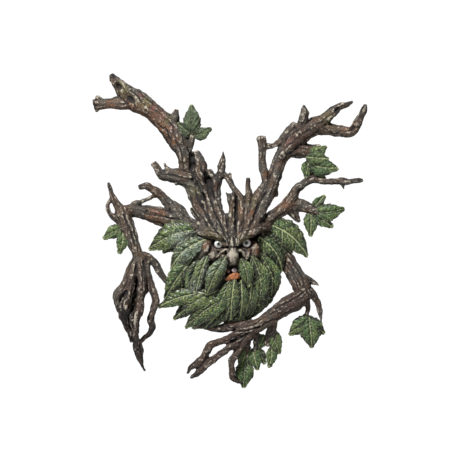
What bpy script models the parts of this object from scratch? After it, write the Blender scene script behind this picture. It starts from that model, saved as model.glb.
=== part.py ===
"""A tree face wall sculpture, cast in one piece: an angry bark face with a beard of leaves, a crown
of gnarled branches and two branch arms with long fingers. It hangs flat on a wall.

The front looks along -Y, +Z is up, and the flat back lies in the plane y = 0.
"""

import math

import bmesh
import bpy
from mathutils import Matrix, Vector

# Driving sizes, in metres
SCULPTURE_HEIGHT = 0.628
LEAF_THICKNESS = 0.005
EYE_RADIUS = 0.0088

# The pose is drawn 628 rows tall, and every row of the drawing is one of these units
DRAWN_ROWS = 628
ROW = SCULPTURE_HEIGHT / DRAWN_ROWS

# How finely the solid is faceted
THICK_LIMB_ROWS = 8
THICK_BEVEL, THIN_BEVEL = 2, 1
LUMP_SIDES, LUMP_RINGS = 8, 6
SKULL_SIDES, SKULL_RINGS = 20, 12
WELD = 0.00001
SKIN_GRAIN = 0.0016
SKIN_RUBS = 3
FACETS = 9600

# Colours and finish of the painted casting
BARK_COLOUR = (0.16, 0.11, 0.075, 1)
LEAF_COLOUR = (0.07, 0.14, 0.035, 1)
EYE_COLOUR = (0.78, 0.76, 0.70, 1)
MOUTH_COLOUR = (0.55, 0.20, 0.06, 1)
PAINT_ROUGHNESS = 0.6

# Each limb is a list of stations (across, up, out, radius) in rows of the drawing: across to the
# right and up from the point where the casting hangs, out from the wall to the limb's middle.
CROWN = {
    "left_antler": [
        (-10, -30, 97, 5), (-18, -16, 93, 8), (-32, 0, 84, 10), (-50, 26, 66, 12), (-66, 54, 54, 12),
        (-78, 84, 46, 12), (-87, 116, 42, 13), (-91, 144, 42, 15), (-98, 170, 42, 20), (-114, 198, 42, 23),
        (-138, 222, 42, 20), (-164, 244, 42, 20), (-190, 260, 42, 23), (-206, 271, 44, 18),
    ],
    "antler_top_prong": [(-190, 258, 42, 18), (-214, 282, 46, 16), (-230, 299, 50, 11), (-238, 312, 54, 4)],
    "antler_left_prong": [
        (-190, 257, 42, 16), (-222, 254, 40, 14), (-244, 254, 38, 11), (-262, 252, 36, 12),
        (-274, 249, 36, 14),
    ],
    "antler_left_nub": [(-256, 256, 38, 7), (-269, 269, 38, 4)],
    "antler_thorn": [(-114, 212, 46, 11), (-110, 228, 50, 9), (-106, 243, 52, 5)],
    "antler_leaf_stub": [(-88, 158, 46, 10), (-78, 180, 50, 7), (-76, 190, 55, 4)],
    "left_knuckle": [
        (-78, 106, 44, 14), (-104, 108, 46, 15), (-122, 110, 48, 13), (-136, 110, 50, 11),
        (-145, 124, 52, 8), (-154, 136, 54, 7),
    ],
    "left_knuckle_under": [(-66, 84, 50, 11), (-84, 92, 48, 10), (-100, 97, 50, 7), (-110, 92, 52, 4)],
    "left_knuckle_twig": [(-120, 116, 50, 6), (-129, 126, 54, 4), (-131, 136, 55, 3)],
    "crown_left": [
        (-5, -32, 98, 5), (-12, -14, 95, 8), (-24, 4, 86, 10), (-38, 34, 72, 12), (-50, 68, 58, 14),
        (-58, 106, 50, 17), (-64, 134, 46, 15), (-70, 158, 44, 8),
    ],
    "crown_left_edge": [(-52, 16, 58, 9), (-70, 36, 48, 9), (-80, 44, 44, 2)],
    "crown_left_inner": [
        (-1, -33, 97, 4), (-4, -14, 94, 7), (-11, 10, 85, 9), (-22, 38, 70, 11), (-28, 58, 62, 12),
        (-32, 80, 58, 13), (-36, 98, 54, 13), (-48, 118, 48, 11),
    ],
    "forehead_left": [
        (-62, 10, 64, 10), (-46, 0, 78, 10), (-30, -10, 90, 9), (-17, -22, 96, 7), (-9, -32, 98, 5),
    ],
    "left_horn": [
        (-27, 84, 56, 7), (-20, 108, 56, 9), (-16, 130, 58, 8), (-14, 145, 60, 5), (-14, 158, 62, 2),
    ],
    "left_horn_nub": [(-20, 112, 56, 6), (-23, 130, 58, 3)],
    "horn_leg": [
        (-18, 118, 56, 6), (-4, 102, 60, 6), (4, 90, 62, 6), (12, 76, 64, 8), (22, 58, 68, 10),
        (23, 32, 76, 10), (18, 4, 86, 9), (12, -16, 94, 7), (9, -34, 98, 5),
    ],
    "horn_leg_nub": [(-4, 100, 60, 5), (1, 115, 62, 3)],
    "centre_stub": [
        (3, -35, 98, 4), (3, -18, 94, 6), (4, 10, 87, 8), (4, 40, 76, 8), (3, 62, 72, 9), (1, 75, 72, 9),
    ],
    "centre_stub_corner": [(2, 64, 72, 6), (-9, 77, 72, 2)],
    "centre_spike": [
        (16, -28, 96, 6), (24, -8, 91, 8), (30, 16, 82, 9), (34, 40, 74, 9), (37, 66, 68, 8),
        (36, 88, 68, 6), (36, 104, 70, 4),
    ],
    "crown_right_inner": [
        (24, -20, 95, 7), (34, -2, 89, 9), (40, 22, 79, 11), (46, 48, 70, 11), (58, 70, 62, 11),
        (71, 92, 58, 10), (70, 108, 58, 9), (64, 134, 58, 8), (65, 160, 60, 8), (62, 187, 63, 9),
    ],
    "bridge_twig": [
        (64, 168, 60, 6), (82, 168, 56, 5), (96, 174, 52, 6), (108, 184, 50, 8), (118, 200, 48, 8),
        (132, 213, 48, 8),
    ],
    "right_antler": [
        (44, -4, 88, 10), (52, 14, 78, 12), (62, 42, 68, 13), (76, 68, 58, 13), (86, 96, 52, 14),
        (94, 124, 48, 15), (104, 148, 46, 16), (118, 168, 44, 19), (136, 186, 44, 20), (158, 202, 44, 19),
        (178, 214, 44, 17), (196, 226, 46, 13),
    ],
    "antler_spur": [(82, 92, 50, 12), (86, 74, 50, 11), (88, 65, 50, 9)],
    "right_thorn": [(138, 196, 48, 12), (147, 218, 54, 10), (148, 236, 58, 7), (148, 252, 60, 3)],
    "right_thorn_nub": [(150, 220, 56, 6), (157, 236, 58, 2)],
    "right_top_prong": [
        (180, 214, 46, 14), (206, 236, 50, 11), (218, 246, 54, 9), (232, 250, 58, 6), (245, 257, 62, 2),
    ],
    "right_low_prong": [
        (172, 206, 44, 14), (204, 202, 44, 13), (226, 198, 46, 12), (242, 198, 48, 11), (254, 212, 52, 9),
        (264, 230, 56, 8), (272, 252, 60, 4),
    ],
    "right_burl": [(112, 160, 42, 14), (140, 160, 40, 17), (162, 160, 42, 13), (182, 166, 46, 6)],
    "right_branch": [
        (48, 4, 70, 11), (70, 14, 62, 13), (86, 27, 56, 13), (101, 40, 54, 13), (116, 54, 50, 13),
        (127, 70, 48, 11), (134, 82, 48, 10), (150, 94, 46, 9), (166, 102, 46, 9), (182, 98, 46, 8),
        (202, 98, 46, 7), (226, 97, 46, 8), (244, 98, 48, 6), (267, 100, 50, 4),
    ],
    "right_branch_thorn": [(224, 94, 46, 6), (229, 81, 46, 2)],
    "right_branch_low": [
        (100, 38, 50, 12), (118, 46, 46, 13), (134, 50, 44, 14), (150, 47, 46, 13), (160, 43, 50, 11),
        (172, 36, 54, 8), (186, 24, 58, 4),
    ],
    "right_branch_drop": [(118, 50, 46, 13), (126, 36, 46, 11), (134, 24, 46, 7), (140, 17, 46, 2)],
}

LEFT_ARM = {
    "left_shoulder": [
        (-36, -4, 80, 10), (-60, 6, 62, 12), (-80, 10, 50, 15), (-98, 24, 42, 18), (-110, 42, 40, 16),
        (-118, 56, 38, 9),
    ],
    "shoulder_twig": [
        (-112, 42, 40, 13), (-130, 60, 40, 10), (-144, 74, 42, 9), (-158, 84, 44, 7), (-170, 88, 46, 7),
        (-183, 84, 48, 5),
    ],
    "shoulder_loop": [
        (-146, 70, 42, 6), (-160, 64, 42, 4), (-174, 58, 42, 4), (-187, 54, 42, 6), (-198, 46, 42, 6),
    ],
    "left_upper_arm": [
        (-96, 20, 44, 16), (-128, 24, 40, 19), (-150, 30, 40, 18), (-170, 35, 40, 15), (-190, 38, 42, 13),
        (-210, 38, 44, 14), (-224, 32, 46, 12),
    ],
    "left_forearm": [
        (-219, 46, 46, 13), (-212, 22, 50, 17), (-203, 0, 54, 16), (-194, -24, 58, 13), (-186, -44, 60, 12),
        (-180, -64, 62, 15),
    ],
    "elbow_horn": [(-218, 38, 48, 12), (-231, 60, 52, 7), (-238, 76, 56, 5), (-243, 95, 60, 2)],
    "elbow_loop": [
        (-234, 66, 53, 4), (-244, 52, 50, 4), (-243, 36, 50, 5), (-234, 26, 50, 7), (-216, 12, 50, 9),
    ],
    "wrist_twig": [
        (-176, -50, 60, 9), (-154, -62, 58, 9), (-144, -80, 56, 8), (-134, -94, 54, 7), (-124, -106, 54, 5),
        (-112, -116, 54, 4),
    ],
    "left_finger_outer": [
        (-188, -56, 62, 9), (-196, -78, 66, 11), (-203, -102, 72, 12), (-212, -118, 80, 12),
        (-225, -130, 84, 10), (-222, -148, 80, 9), (-216, -166, 74, 9), (-208, -186, 68, 8),
        (-201, -206, 64, 6), (-196, -224, 60, 3),
    ],
    "left_finger_second": [
        (-188, -64, 68, 9), (-196, -96, 78, 9), (-200, -126, 88, 8), (-211, -151, 96, 10),
        (-206, -172, 88, 8), (-200, -192, 80, 6), (-196, -210, 74, 4),
    ],
    "left_finger_long": [
        (-180, -60, 68, 9), (-176, -92, 78, 9), (-176, -119, 86, 10), (-178, -140, 92, 8),
        (-181, -160, 96, 9), (-189, -176, 100, 11), (-189, -198, 94, 8), (-187, -220, 86, 8),
        (-183, -237, 78, 11), (-181, -252, 70, 8), (-176, -268, 64, 5), (-170, -282, 58, 2),
    ],
    "left_thumb": [
        (-168, -62, 64, 9), (-166, -86, 66, 9), (-162, -106, 66, 9), (-154, -120, 66, 8),
        (-148, -142, 66, 8), (-154, -160, 68, 7), (-158, -180, 70, 8), (-155, -194, 72, 8),
        (-163, -208, 76, 6), (-174, -218, 82, 5), (-182, -226, 84, 4),
    ],
}

RIGHT_ARM = {
    "right_upper_arm": [
        (64, -16, 40, 14), (96, -34, 40, 14), (114, -56, 42, 15), (122, -76, 44, 17), (132, -94, 48, 18),
        (142, -110, 52, 19), (150, -128, 56, 17),
    ],
    "right_forearm": [
        (154, -122, 56, 14), (140, -138, 60, 18), (120, -148, 62, 18), (100, -160, 64, 17),
        (80, -176, 66, 15), (60, -188, 68, 14), (38, -198, 68, 15), (20, -206, 66, 12),
    ],
    "right_elbow_spur": [(146, -98, 52, 11), (160, -102, 52, 7), (170, -106, 52, 4), (179, -112, 52, 1)],
    "elbow_root_long": [
        (152, -118, 54, 12), (170, -134, 52, 8), (178, -152, 50, 6), (181, -172, 50, 4), (184, -190, 54, 2),
    ],
    "elbow_root_short": [(148, -130, 56, 11), (156, -154, 56, 6), (154, -168, 58, 6), (154, -184, 60, 4)],
    "wrist_stalk": [(86, -178, 62, 12), (83, -196, 58, 9), (76, -212, 57, 7), (73, -232, 57, 5)],
    "wrist_twig_right": [(82, -192, 58, 7), (88, -208, 57, 5), (85, -236, 57, 4)],
    "palm_stalk": [(48, -196, 62, 8), (54, -214, 58, 7), (52, -232, 57, 5), (48, -248, 57, 4)],
    "curl_stalk": [(34, -208, 62, 8), (34, -244, 58, 5), (33, -268, 58, 4)],
    "right_finger_top": [
        (44, -190, 66, 12), (20, -191, 62, 10), (-4, -194, 60, 10), (-28, -198, 58, 8), (-48, -196, 56, 4),
        (-72, -195, 54, 2),
    ],
    "right_finger_second": [
        (34, -200, 68, 11), (8, -212, 74, 10), (-14, -221, 82, 8), (-37, -228, 90, 8), (-46, -242, 88, 7),
        (-55, -258, 82, 9), (-69, -268, 76, 8), (-80, -277, 70, 5), (-86, -287, 66, 3),
    ],
    "right_finger_third": [
        (32, -208, 68, 11), (12, -226, 76, 9), (-8, -239, 84, 8), (-27, -253, 88, 8), (-43, -264, 84, 8),
        (-58, -278, 78, 8), (-68, -288, 72, 6), (-79, -295, 68, 2),
    ],
    "right_finger_curl": [
        (36, -206, 64, 11), (22, -234, 70, 9), (10, -250, 76, 8), (2, -264, 78, 7), (4, -280, 74, 7),
        (5, -294, 70, 7), (16, -303, 64, 5), (28, -306, 60, 4),
    ],
}

FACE_RIDGES = {
    "brow_left": [
        (-64, -2, 72, 8), (-46, -7, 86, 10), (-26, -9, 95, 10), (-12, -14, 99, 8), (-4, -24, 100, 6),
    ],
    "brow_right": [
        (78, 8, 66, 9), (62, 5, 78, 10), (46, -3, 90, 11), (29, -10, 97, 10), (17, -22, 100, 7),
        (12, -32, 100, 4),
    ],
    "nose_bridge": [
        (4, -24, 96, 6), (5, -36, 99, 7), (6, -44, 101, 10), (6, -51, 103, 12), (6, -58, 103, 10),
        (7, -65, 102, 6), (7, -71, 100, 2),
    ],
    "nostril_left": [(0, -45, 101, 4), (-9, -40, 98, 4), (-17, -44, 97, 4), (-26, -55, 93, 3)],
    "nostril_left_low": [(-4, -54, 100, 4), (-14, -52, 97, 3), (-24, -62, 92, 2)],
    "nostril_right": [(12, -46, 101, 4), (20, -41, 98, 4), (27, -47, 96, 4), (33, -58, 92, 3)],
    "lid_left": [(-39, -20, 84, 4), (-33, -35, 87, 3), (-21, -39, 91, 3), (-9, -34, 94, 3)],
    "lid_right": [(15, -34, 94, 3), (27, -38, 91, 3), (41, -36, 87, 3), (48, -22, 83, 4)],
    "lower_lip": [
        (-9, -99, 85, 2), (-3, -96, 88, 5), (6, -93, 90, 7), (14, -91, 89, 7), (19, -93, 86, 4),
    ],
}

# Rounded lumps: (across, up, out) of the middle, then the half sizes (across, up, out)
LUMPS = {
    "cheek_left": ((-46, -34, 82), (9, 15, 14)),
    "cheek_left_low": ((-33, -49, 84), (11, 12, 11)),
    "cheek_right": ((50, -39, 82), (11, 18, 14)),
    "cheek_right_low": ((35, -48, 84), (10, 11, 11)),
    "temple_left": ((-62, -8, 48), (14, 16, 22)),
    "temple_right": ((68, -6, 48), (14, 16, 22)),
    "palm_left": ((-180, -94, 60), (23, 43, 14)),
    "palm_left_low": ((-200, -136, 60), (17, 34, 15)),
    "palm_right": ((30, -206, 64), (24, 18, 15)),
}
SKULL = ((4, -76, 0), (80, 112, 84))
FOREHEAD = ((8, -2, 18), (50, 36, 66))
EYES = {"eye_left": (-23, -28, 89), "eye_right": (33, -26, 88)}
TEETH = {"tooth_left": ((-3, -82, 84), 3.6), "tooth_right": ((9, -80, 89), 5.2)}

# Each leaf: (across, up, out) of its foot and of its tip, its width, its roll about its own
# length in degrees, the number of teeth on each edge, and how far it bends to its side.
BEARD_LEAVES = {
    "jaw_left_back": ((-60, -88, 64), (-106, -130, 54), 36, 4, 3, 0),
    "beard_low_back": ((4, -146, 66), (-74, -198, 52), 36, 0, 4, 0),
    "mane_left_high": ((-62, 2, 66), (-162, -38, 54), 54, 8, 4, 0.07),
    "mane_left_low": ((-64, -8, 62), (-134, -44, 48), 36, 10, 3, 0.05),
    "mane_right_high": ((64, 16, 62), (156, -52, 50), 52, -6, 4, -0.1),
    "mane_right_low": ((60, -14, 72), (124, -46, 50), 36, -8, 3, -0.08),
    "beard_right_edge": ((76, -104, 58), (58, -164, 48), 30, 8, 3, -0.06),
    "beard_right_low": ((66, -92, 68), (34, -180, 54), 38, 6, 4, -0.1),
    "beard_low_right": ((32, -144, 74), (-12, -192, 56), 38, 0, 4, 0),
    "beard_low_mid": ((16, -138, 82), (-52, -198, 58), 38, 2, 4, 0.03),
    "beard_low_left": ((6, -126, 88), (-90, -195, 60), 42, 4, 5, 0.03),
    "beard_left_under": ((-50, -136, 72), (-112, -178, 58), 32, 6, 4, 0.04),
    "beard_left_tip": ((-56, -126, 78), (-143, -154, 62), 32, 8, 4, 0.05),
    "beard_left_mid": ((-22, -120, 86), (-100, -168, 68), 32, 6, 4, 0.05),
    "jaw_left_outer": ((-74, -56, 68), (-129, -137, 58), 42, -8, 4, 0.04),
    "jaw_left_inner": ((-62, -56, 76), (-82, -140, 66), 28, -6, 4, 0.05),
    "cheek_leaf_left": ((-48, -18, 86), (-119, -78, 62), 42, 12, 4, 0.09),
    "cheek_leaf_right": ((58, -14, 80), (105, -82, 58), 40, -12, 4, -0.1),
    "beard_right_outer": ((58, -44, 82), (78, -146, 52), 38, 12, 5, -0.16),
    "moustache_left_outer": ((-44, -50, 88), (-68, -128, 82), 28, -8, 4, 0.05),
    "moustache_right_outer": ((44, -52, 92), (56, -150, 74), 38, 8, 5, -0.12),
    "beard_right_mid": ((44, -90, 87), (26, -178, 64), 32, 6, 4, -0.06),
    "chin_right": ((22, -100, 91), (20, -176, 70), 26, 2, 4, -0.04),
    "chin_left": ((2, -100, 90), (-24, -168, 80), 24, 4, 4, 0.04),
    "chin": ((9, -98, 95), (2, -178, 76), 28, 0, 5, 0.02),
    "moustache_left": ((-8, -54, 102), (-46, -128, 92), 34, -10, 4, 0.05),
    "moustache_right": ((22, -57, 102), (36, -112, 95), 30, 10, 4, -0.08),
}
SPRIG_LEAVES = {
    "antler_leaf_top": ((-76, 188, 57), (-76, 249, 62), 36, 0, 3, 0),
    "antler_leaf_left": ((-77, 190, 57), (-104, 212, 60), 30, 0, 2, 0),
    "antler_leaf_right": ((-75, 187, 57), (-39, 202, 60), 26, 0, 2, 0.05),
    "burl_leaf_top": ((158, 142, 52), (192, 166, 56), 30, 0, 2, 0),
    "burl_leaf_right": ((154, 134, 50), (216, 124, 56), 38, 0, 3, 0.06),
    "burl_leaf_low": ((158, 140, 50), (152, 106, 50), 26, 0, 2, 0),
    "burl_leaf_middle": ((152, 146, 54), (196, 142, 58), 30, 0, 2, 0),
    "burl_leaf_under": ((160, 118, 46), (202, 120, 48), 26, 0, 2, 0),
    "branch_leaf_under": ((158, 108, 46), (190, 104, 48), 18, 0, 2, 0),
    "branch_leaf_up": ((166, 42, 54), (189, 68, 56), 22, 0, 2, 0),
    "branch_leaf_right": ((168, 34, 58), (227, 42, 62), 36, 0, 3, 0.05),
    "branch_leaf_low": ((168, 34, 56), (204, 6, 58), 28, 0, 2, 0),
    "branch_leaf_down": ((162, 40, 54), (162, -11, 56), 30, 0, 3, 0),
    "forearm_leaf_left": ((-212, 4, 58), (-252, -16, 62), 28, 0, 2, 0.06),
    "forearm_leaf_down": ((-214, 0, 60), (-221, -46, 64), 26, 0, 3, -0.06),
    "elbow_leaf_tip": ((158, -174, 62), (164, -234, 62), 44, 0, 2, 0),
    "elbow_leaf_left": ((162, -176, 61), (119, -208, 60), 36, 0, 2, 0),
    "elbow_leaf_right": ((154, -178, 61), (188, -206, 60), 30, 0, 2, 0),
    "elbow_leaf_top": ((158, -190, 59), (150, -170, 58), 30, 0, 1, 0),
    "palm_leaf_high": ((62, -208, 56), (50, -240, 57), 20, 0, 2, 0),
    "palm_leaf_low": ((46, -236, 58), (56, -278, 62), 29, 0, 3, 0.04),
    "palm_leaf_back": ((56, -236, 56), (69, -267, 57), 20, 0, 2, 0),
    "wrist_leaf_low": ((84, -232, 58), (79, -274, 60), 23, 0, 3, -0.04),
    "wrist_leaf_high": ((88, -200, 58), (99, -246, 60), 27, 0, 3, 0.05),
    "wrist_leaf_back": ((70, -210, 58), (55, -240, 59), 21, 0, 2, 0),
    "curl_leaf_high": ((37, -232, 58), (20, -278, 60), 28, 0, 2, 0),
    "curl_leaf_round": ((31, -260, 60), (27, -314, 62), 38, 0, 2, 0),
}

# A leaf's form, as shares of its own length or width
LEAF_FOOT_SHARE = 0.2
LEAF_WIDEST = 0.42
LEAF_ARCH = 0.07
LEAF_FOLD = 0.14
TOOTH_DEPTH = 0.12


def clear_scene():
    for thing in list(bpy.data.objects):
        bpy.data.objects.remove(thing)


def collection(name):
    made = bpy.data.collections.new(name)
    bpy.context.scene.collection.children.link(made)
    return made


def paint(name, colour):
    """A matt paint over the resin."""
    made = bpy.data.materials.new(name)
    made.use_nodes = True
    shader = made.node_tree.nodes["Principled BSDF"]
    shader.inputs["Base Color"].default_value = colour
    shader.inputs["Roughness"].default_value = PAINT_ROUGHNESS
    shader.inputs["Metallic"].default_value = 0
    made.diffuse_color = colour
    return made


def spot(across, up, out):
    """The place in metres of a point of the drawing, with the front towards -Y."""
    return Vector((across, -out, up)) * ROW


def keep_mesh(name, mesh, material, folder):
    mesh.materials.clear()
    mesh.materials.append(material)
    made = bpy.data.objects.new(name, mesh)
    folder.objects.link(made)
    return made


def build_limb(name, stations, material, folder):
    """A tapering limb: a curve whose round bevel follows each station's radius, made a closed mesh."""
    thickest = max(radius for *_, radius in stations)
    curve = bpy.data.curves.new(name, "CURVE")
    curve.dimensions = "3D"
    curve.bevel_depth = 1
    curve.bevel_resolution = round(THICK_BEVEL if thickest >= THICK_LIMB_ROWS else THIN_BEVEL)
    curve.use_fill_caps = True
    spline = curve.splines.new("POLY")
    spline.points.add(len(stations) - 1)
    for point, (across, up, out, radius) in zip(spline.points, stations):
        point.co = (*spot(across, up, out), 1)
        point.radius = radius * ROW
    guide = bpy.data.objects.new(name + "_curve", curve)
    folder.objects.link(guide)
    graph = bpy.context.evaluated_depsgraph_get()
    mesh = bpy.data.meshes.new_from_object(guide.evaluated_get(graph))
    bpy.data.objects.remove(guide)
    shell = bmesh.new()
    shell.from_mesh(mesh)
    bmesh.ops.remove_doubles(shell, verts=shell.verts, dist=WELD)
    bmesh.ops.recalc_face_normals(shell, faces=shell.faces)
    shell.to_mesh(mesh)
    shell.free()
    return keep_mesh(name, mesh, material, folder)


def build_lump(name, middle, half, material, folder, sides=LUMP_SIDES, rings=LUMP_RINGS):
    """A rounded lump with its poles in front and behind, so that its front is evenly faceted."""
    shell = bmesh.new()
    bmesh.ops.create_uvsphere(shell, u_segments=sides, v_segments=rings, radius=1)
    across, up, out = half
    stretch = Matrix.Diagonal((across * ROW, out * ROW, up * ROW, 1))
    turn = Matrix.Rotation(math.radians(90), 4, "X")
    bmesh.ops.transform(shell, matrix=Matrix.Translation(spot(*middle)) @ stretch @ turn, verts=shell.verts)
    mesh = bpy.data.meshes.new(name)
    shell.to_mesh(mesh)
    shell.free()
    return keep_mesh(name, mesh, material, folder)


def half_width(share, teeth, step):
    """Half of a leaf's width at a share of its length, in and out by turns along its toothed edge."""
    if share < LEAF_WIDEST:
        swell = LEAF_FOOT_SHARE + (1 - LEAF_FOOT_SHARE) * math.sin(math.pi / 2 * share / LEAF_WIDEST)
    else:
        swell = math.cos(math.pi / 2 * (share - LEAF_WIDEST) / (1 - LEAF_WIDEST)) ** 0.8
    if 0 < step < 2 * teeth:
        swell *= 1 + TOOTH_DEPTH if step % 2 else 1 - TOOTH_DEPTH
    return 0.5 * max(swell, 0.03)


def build_leaf(name, foot, tip, width, roll, teeth, bend, material, folder):
    """A toothed leaf: an open sheet folded along its midrib and arched forwards, with Solidify."""
    foot_spot, tip_spot = spot(*foot), spot(*tip)
    length = (tip_spot - foot_spot).length
    along = (tip_spot - foot_spot).normalized()
    front = Vector((0, -1, 0))
    front = (front - front.dot(along) * along).normalized()
    front = Matrix.Rotation(math.radians(roll), 3, along) @ front
    side = along.cross(front)
    steps = 2 * teeth
    sheet = bmesh.new()
    rows = []
    for step in range(steps + 1):
        share = step / steps
        reach = half_width(share, teeth, step) * width * ROW
        rise = LEAF_ARCH * length * 4 * share * (1 - share)
        swing = bend * length * math.sin(math.pi * share)
        middle = foot_spot + along * length * share + side * swing + front * rise
        drop = front * LEAF_FOLD * reach
        rows.append([
            sheet.verts.new(middle - side * reach - drop),
            sheet.verts.new(middle),
            sheet.verts.new(middle + side * reach - drop),
        ])
    for lower, upper in zip(rows, rows[1:]):
        for left in (0, 1):
            sheet.faces.new((lower[left], lower[left + 1], upper[left + 1], upper[left]))
    mesh = bpy.data.meshes.new(name)
    sheet.to_mesh(mesh)
    sheet.free()
    made = keep_mesh(name, mesh, material, folder)
    thicken = made.modifiers.new("thickness", "SOLIDIFY")
    thicken.thickness = LEAF_THICKNESS
    thicken.offset = 0
    return made


def build_wall_cutter(folder):
    """Everything behind the wall's face, which the flat back is cut by."""
    reach = 2 * SCULPTURE_HEIGHT
    shell = bmesh.new()
    bmesh.ops.create_cube(shell, size=reach)
    bmesh.ops.translate(shell, vec=(0, reach / 2, 0), verts=shell.verts)
    mesh = bpy.data.meshes.new("wall")
    shell.to_mesh(mesh)
    shell.free()
    made = bpy.data.objects.new("wall", mesh)
    folder.objects.link(made)
    return made


def hide_helper(helper):
    helper.hide_render = True
    helper.display_type = "WIRE"


def join_all(body, helpers):
    """One Boolean union fuses every helper into the body."""
    fuse = body.modifiers.new("fuse", "BOOLEAN")
    fuse.operation = "UNION"
    fuse.solver = "MANIFOLD"
    fuse.operand_type = "COLLECTION"
    fuse.collection = helpers


def cast_skin(body):
    """One even skin over the fused pieces, thinned to the facets that its form needs."""
    skin = body.modifiers.new("skin", "REMESH")
    skin.mode = "VOXEL"
    skin.voxel_size = SKIN_GRAIN
    rub = body.modifiers.new("rub", "SMOOTH")
    rub.factor = 0.5
    rub.iterations = SKIN_RUBS
    graph = bpy.context.evaluated_depsgraph_get()
    skin_triangles = 2 * len(body.evaluated_get(graph).data.polygons)
    thin = body.modifiers.new("thin", "DECIMATE")
    thin.ratio = FACETS / skin_triangles


def cut(body, cutter):
    trim = body.modifiers.new("flat_back", "BOOLEAN")
    trim.operation = "DIFFERENCE"
    trim.solver = "MANIFOLD"
    trim.object = cutter


def main():
    clear_scene()
    casting = collection("tree_face_sculpture")
    helpers = collection("fused_pieces")
    cutters = collection("cutters")
    bark = paint("bark", BARK_COLOUR)
    leaf = paint("leaf", LEAF_COLOUR)
    eye = paint("eye", EYE_COLOUR)
    mouth = paint("mouth", MOUTH_COLOUR)

    body = build_lump("tree_face", *SKULL, bark, casting, SKULL_SIDES, SKULL_RINGS)
    for name, stations in {**CROWN, **LEFT_ARM, **RIGHT_ARM, **FACE_RIDGES}.items():
        build_limb(name, stations, mouth if name == "lower_lip" else bark, helpers)
    build_lump("forehead", *FOREHEAD, bark, helpers, SKULL_SIDES, SKULL_RINGS)
    for name, (middle, half) in LUMPS.items():
        build_lump(name, middle, half, bark, helpers)
    for name, middle in EYES.items():
        build_lump(name, middle, (EYE_RADIUS / ROW,) * 3, eye, helpers)
    for name, (middle, radius) in TEETH.items():
        build_lump(name, middle, (radius, radius, radius), eye, helpers)
    for name, form in {**BEARD_LEAVES, **SPRIG_LEAVES}.items():
        build_leaf(name, *form, leaf, helpers)
    for helper in helpers.objects:
        hide_helper(helper)

    wall = build_wall_cutter(cutters)
    hide_helper(wall)
    join_all(body, helpers)
    cast_skin(body)
    cut(body, wall)


main()
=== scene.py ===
# %% [markdown]
# # A tree face for a wall
#
# The sculpture is one painted resin casting. A furious bark face looks out of a beard of leaves, a crown
# of gnarled branches stands over it, and two branch arms end in long bony fingers. It hangs flat on a
# wall, with its front towards -Y and +Z up.
#
# The lesson builds it the way a sculptor would. Branches and face are laid up as clay, fused into one
# skin and carved with bark. The leaves are made one by one and laid over the face. The paint comes last.

import math
from itertools import product

import bmesh
import bpy
import numpy as np
from mathutils import Matrix, Vector


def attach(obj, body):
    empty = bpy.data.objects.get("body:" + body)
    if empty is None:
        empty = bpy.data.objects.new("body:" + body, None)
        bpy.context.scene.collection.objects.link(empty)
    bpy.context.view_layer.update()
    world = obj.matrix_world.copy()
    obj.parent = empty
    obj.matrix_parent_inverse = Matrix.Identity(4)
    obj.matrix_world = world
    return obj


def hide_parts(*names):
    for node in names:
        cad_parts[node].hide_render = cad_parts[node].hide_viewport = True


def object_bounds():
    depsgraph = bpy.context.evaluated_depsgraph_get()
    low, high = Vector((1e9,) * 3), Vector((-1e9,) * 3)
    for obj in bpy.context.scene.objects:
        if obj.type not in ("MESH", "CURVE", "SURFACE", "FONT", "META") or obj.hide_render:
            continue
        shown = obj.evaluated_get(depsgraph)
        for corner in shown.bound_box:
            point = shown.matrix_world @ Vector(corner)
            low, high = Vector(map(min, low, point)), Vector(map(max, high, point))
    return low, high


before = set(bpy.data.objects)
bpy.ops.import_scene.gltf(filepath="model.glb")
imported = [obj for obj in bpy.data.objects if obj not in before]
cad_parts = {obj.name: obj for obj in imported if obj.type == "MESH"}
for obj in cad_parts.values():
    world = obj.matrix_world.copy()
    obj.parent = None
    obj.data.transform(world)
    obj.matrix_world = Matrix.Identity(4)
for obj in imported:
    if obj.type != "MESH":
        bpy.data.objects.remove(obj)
box_at_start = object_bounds()
print("the solid's box in metres:", box_at_start)

# %% [markdown]
# ## Sizes
#
# Everything is drawn in rows, one of which is the solid's height over the rows that it spans, so the
# drawing follows the casting's size. A place is given as (across, up, out): across to the right and up
# from the point where the casting hangs, and out from the wall.

# %% Driving sizes
SOLID_ROWS = 627.7
ROW = float(box_at_start[1][2] - box_at_start[0][2]) / SOLID_ROWS

BARK_GRAIN = 1.5
ARM_GRAIN = 1.3
RIDGE_SPACING = 16
RIDGE_DEPTH = 0.17
MOST_RIDGE = 2.4
EYE_RADIUS = 8.6
PUPIL_ANGLE = 15
IRIS_ANGLE = 27
LEAF_THICKNESS = 3.2
LEAF_ARCH = 0.07
LEAF_FOLD = 0.16
RIB_SPACING = 12
LEAF_FOOT_SHARE = 0.2
LEAF_WIDEST = 0.42
TOOTH_DEPTH = 0.14


def spot(across, up, out):
    """The place in metres of a point of the drawing."""
    return Vector((across, -out, up)) * ROW


print("one row is", round(ROW * 1000, 4), "mm")
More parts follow.
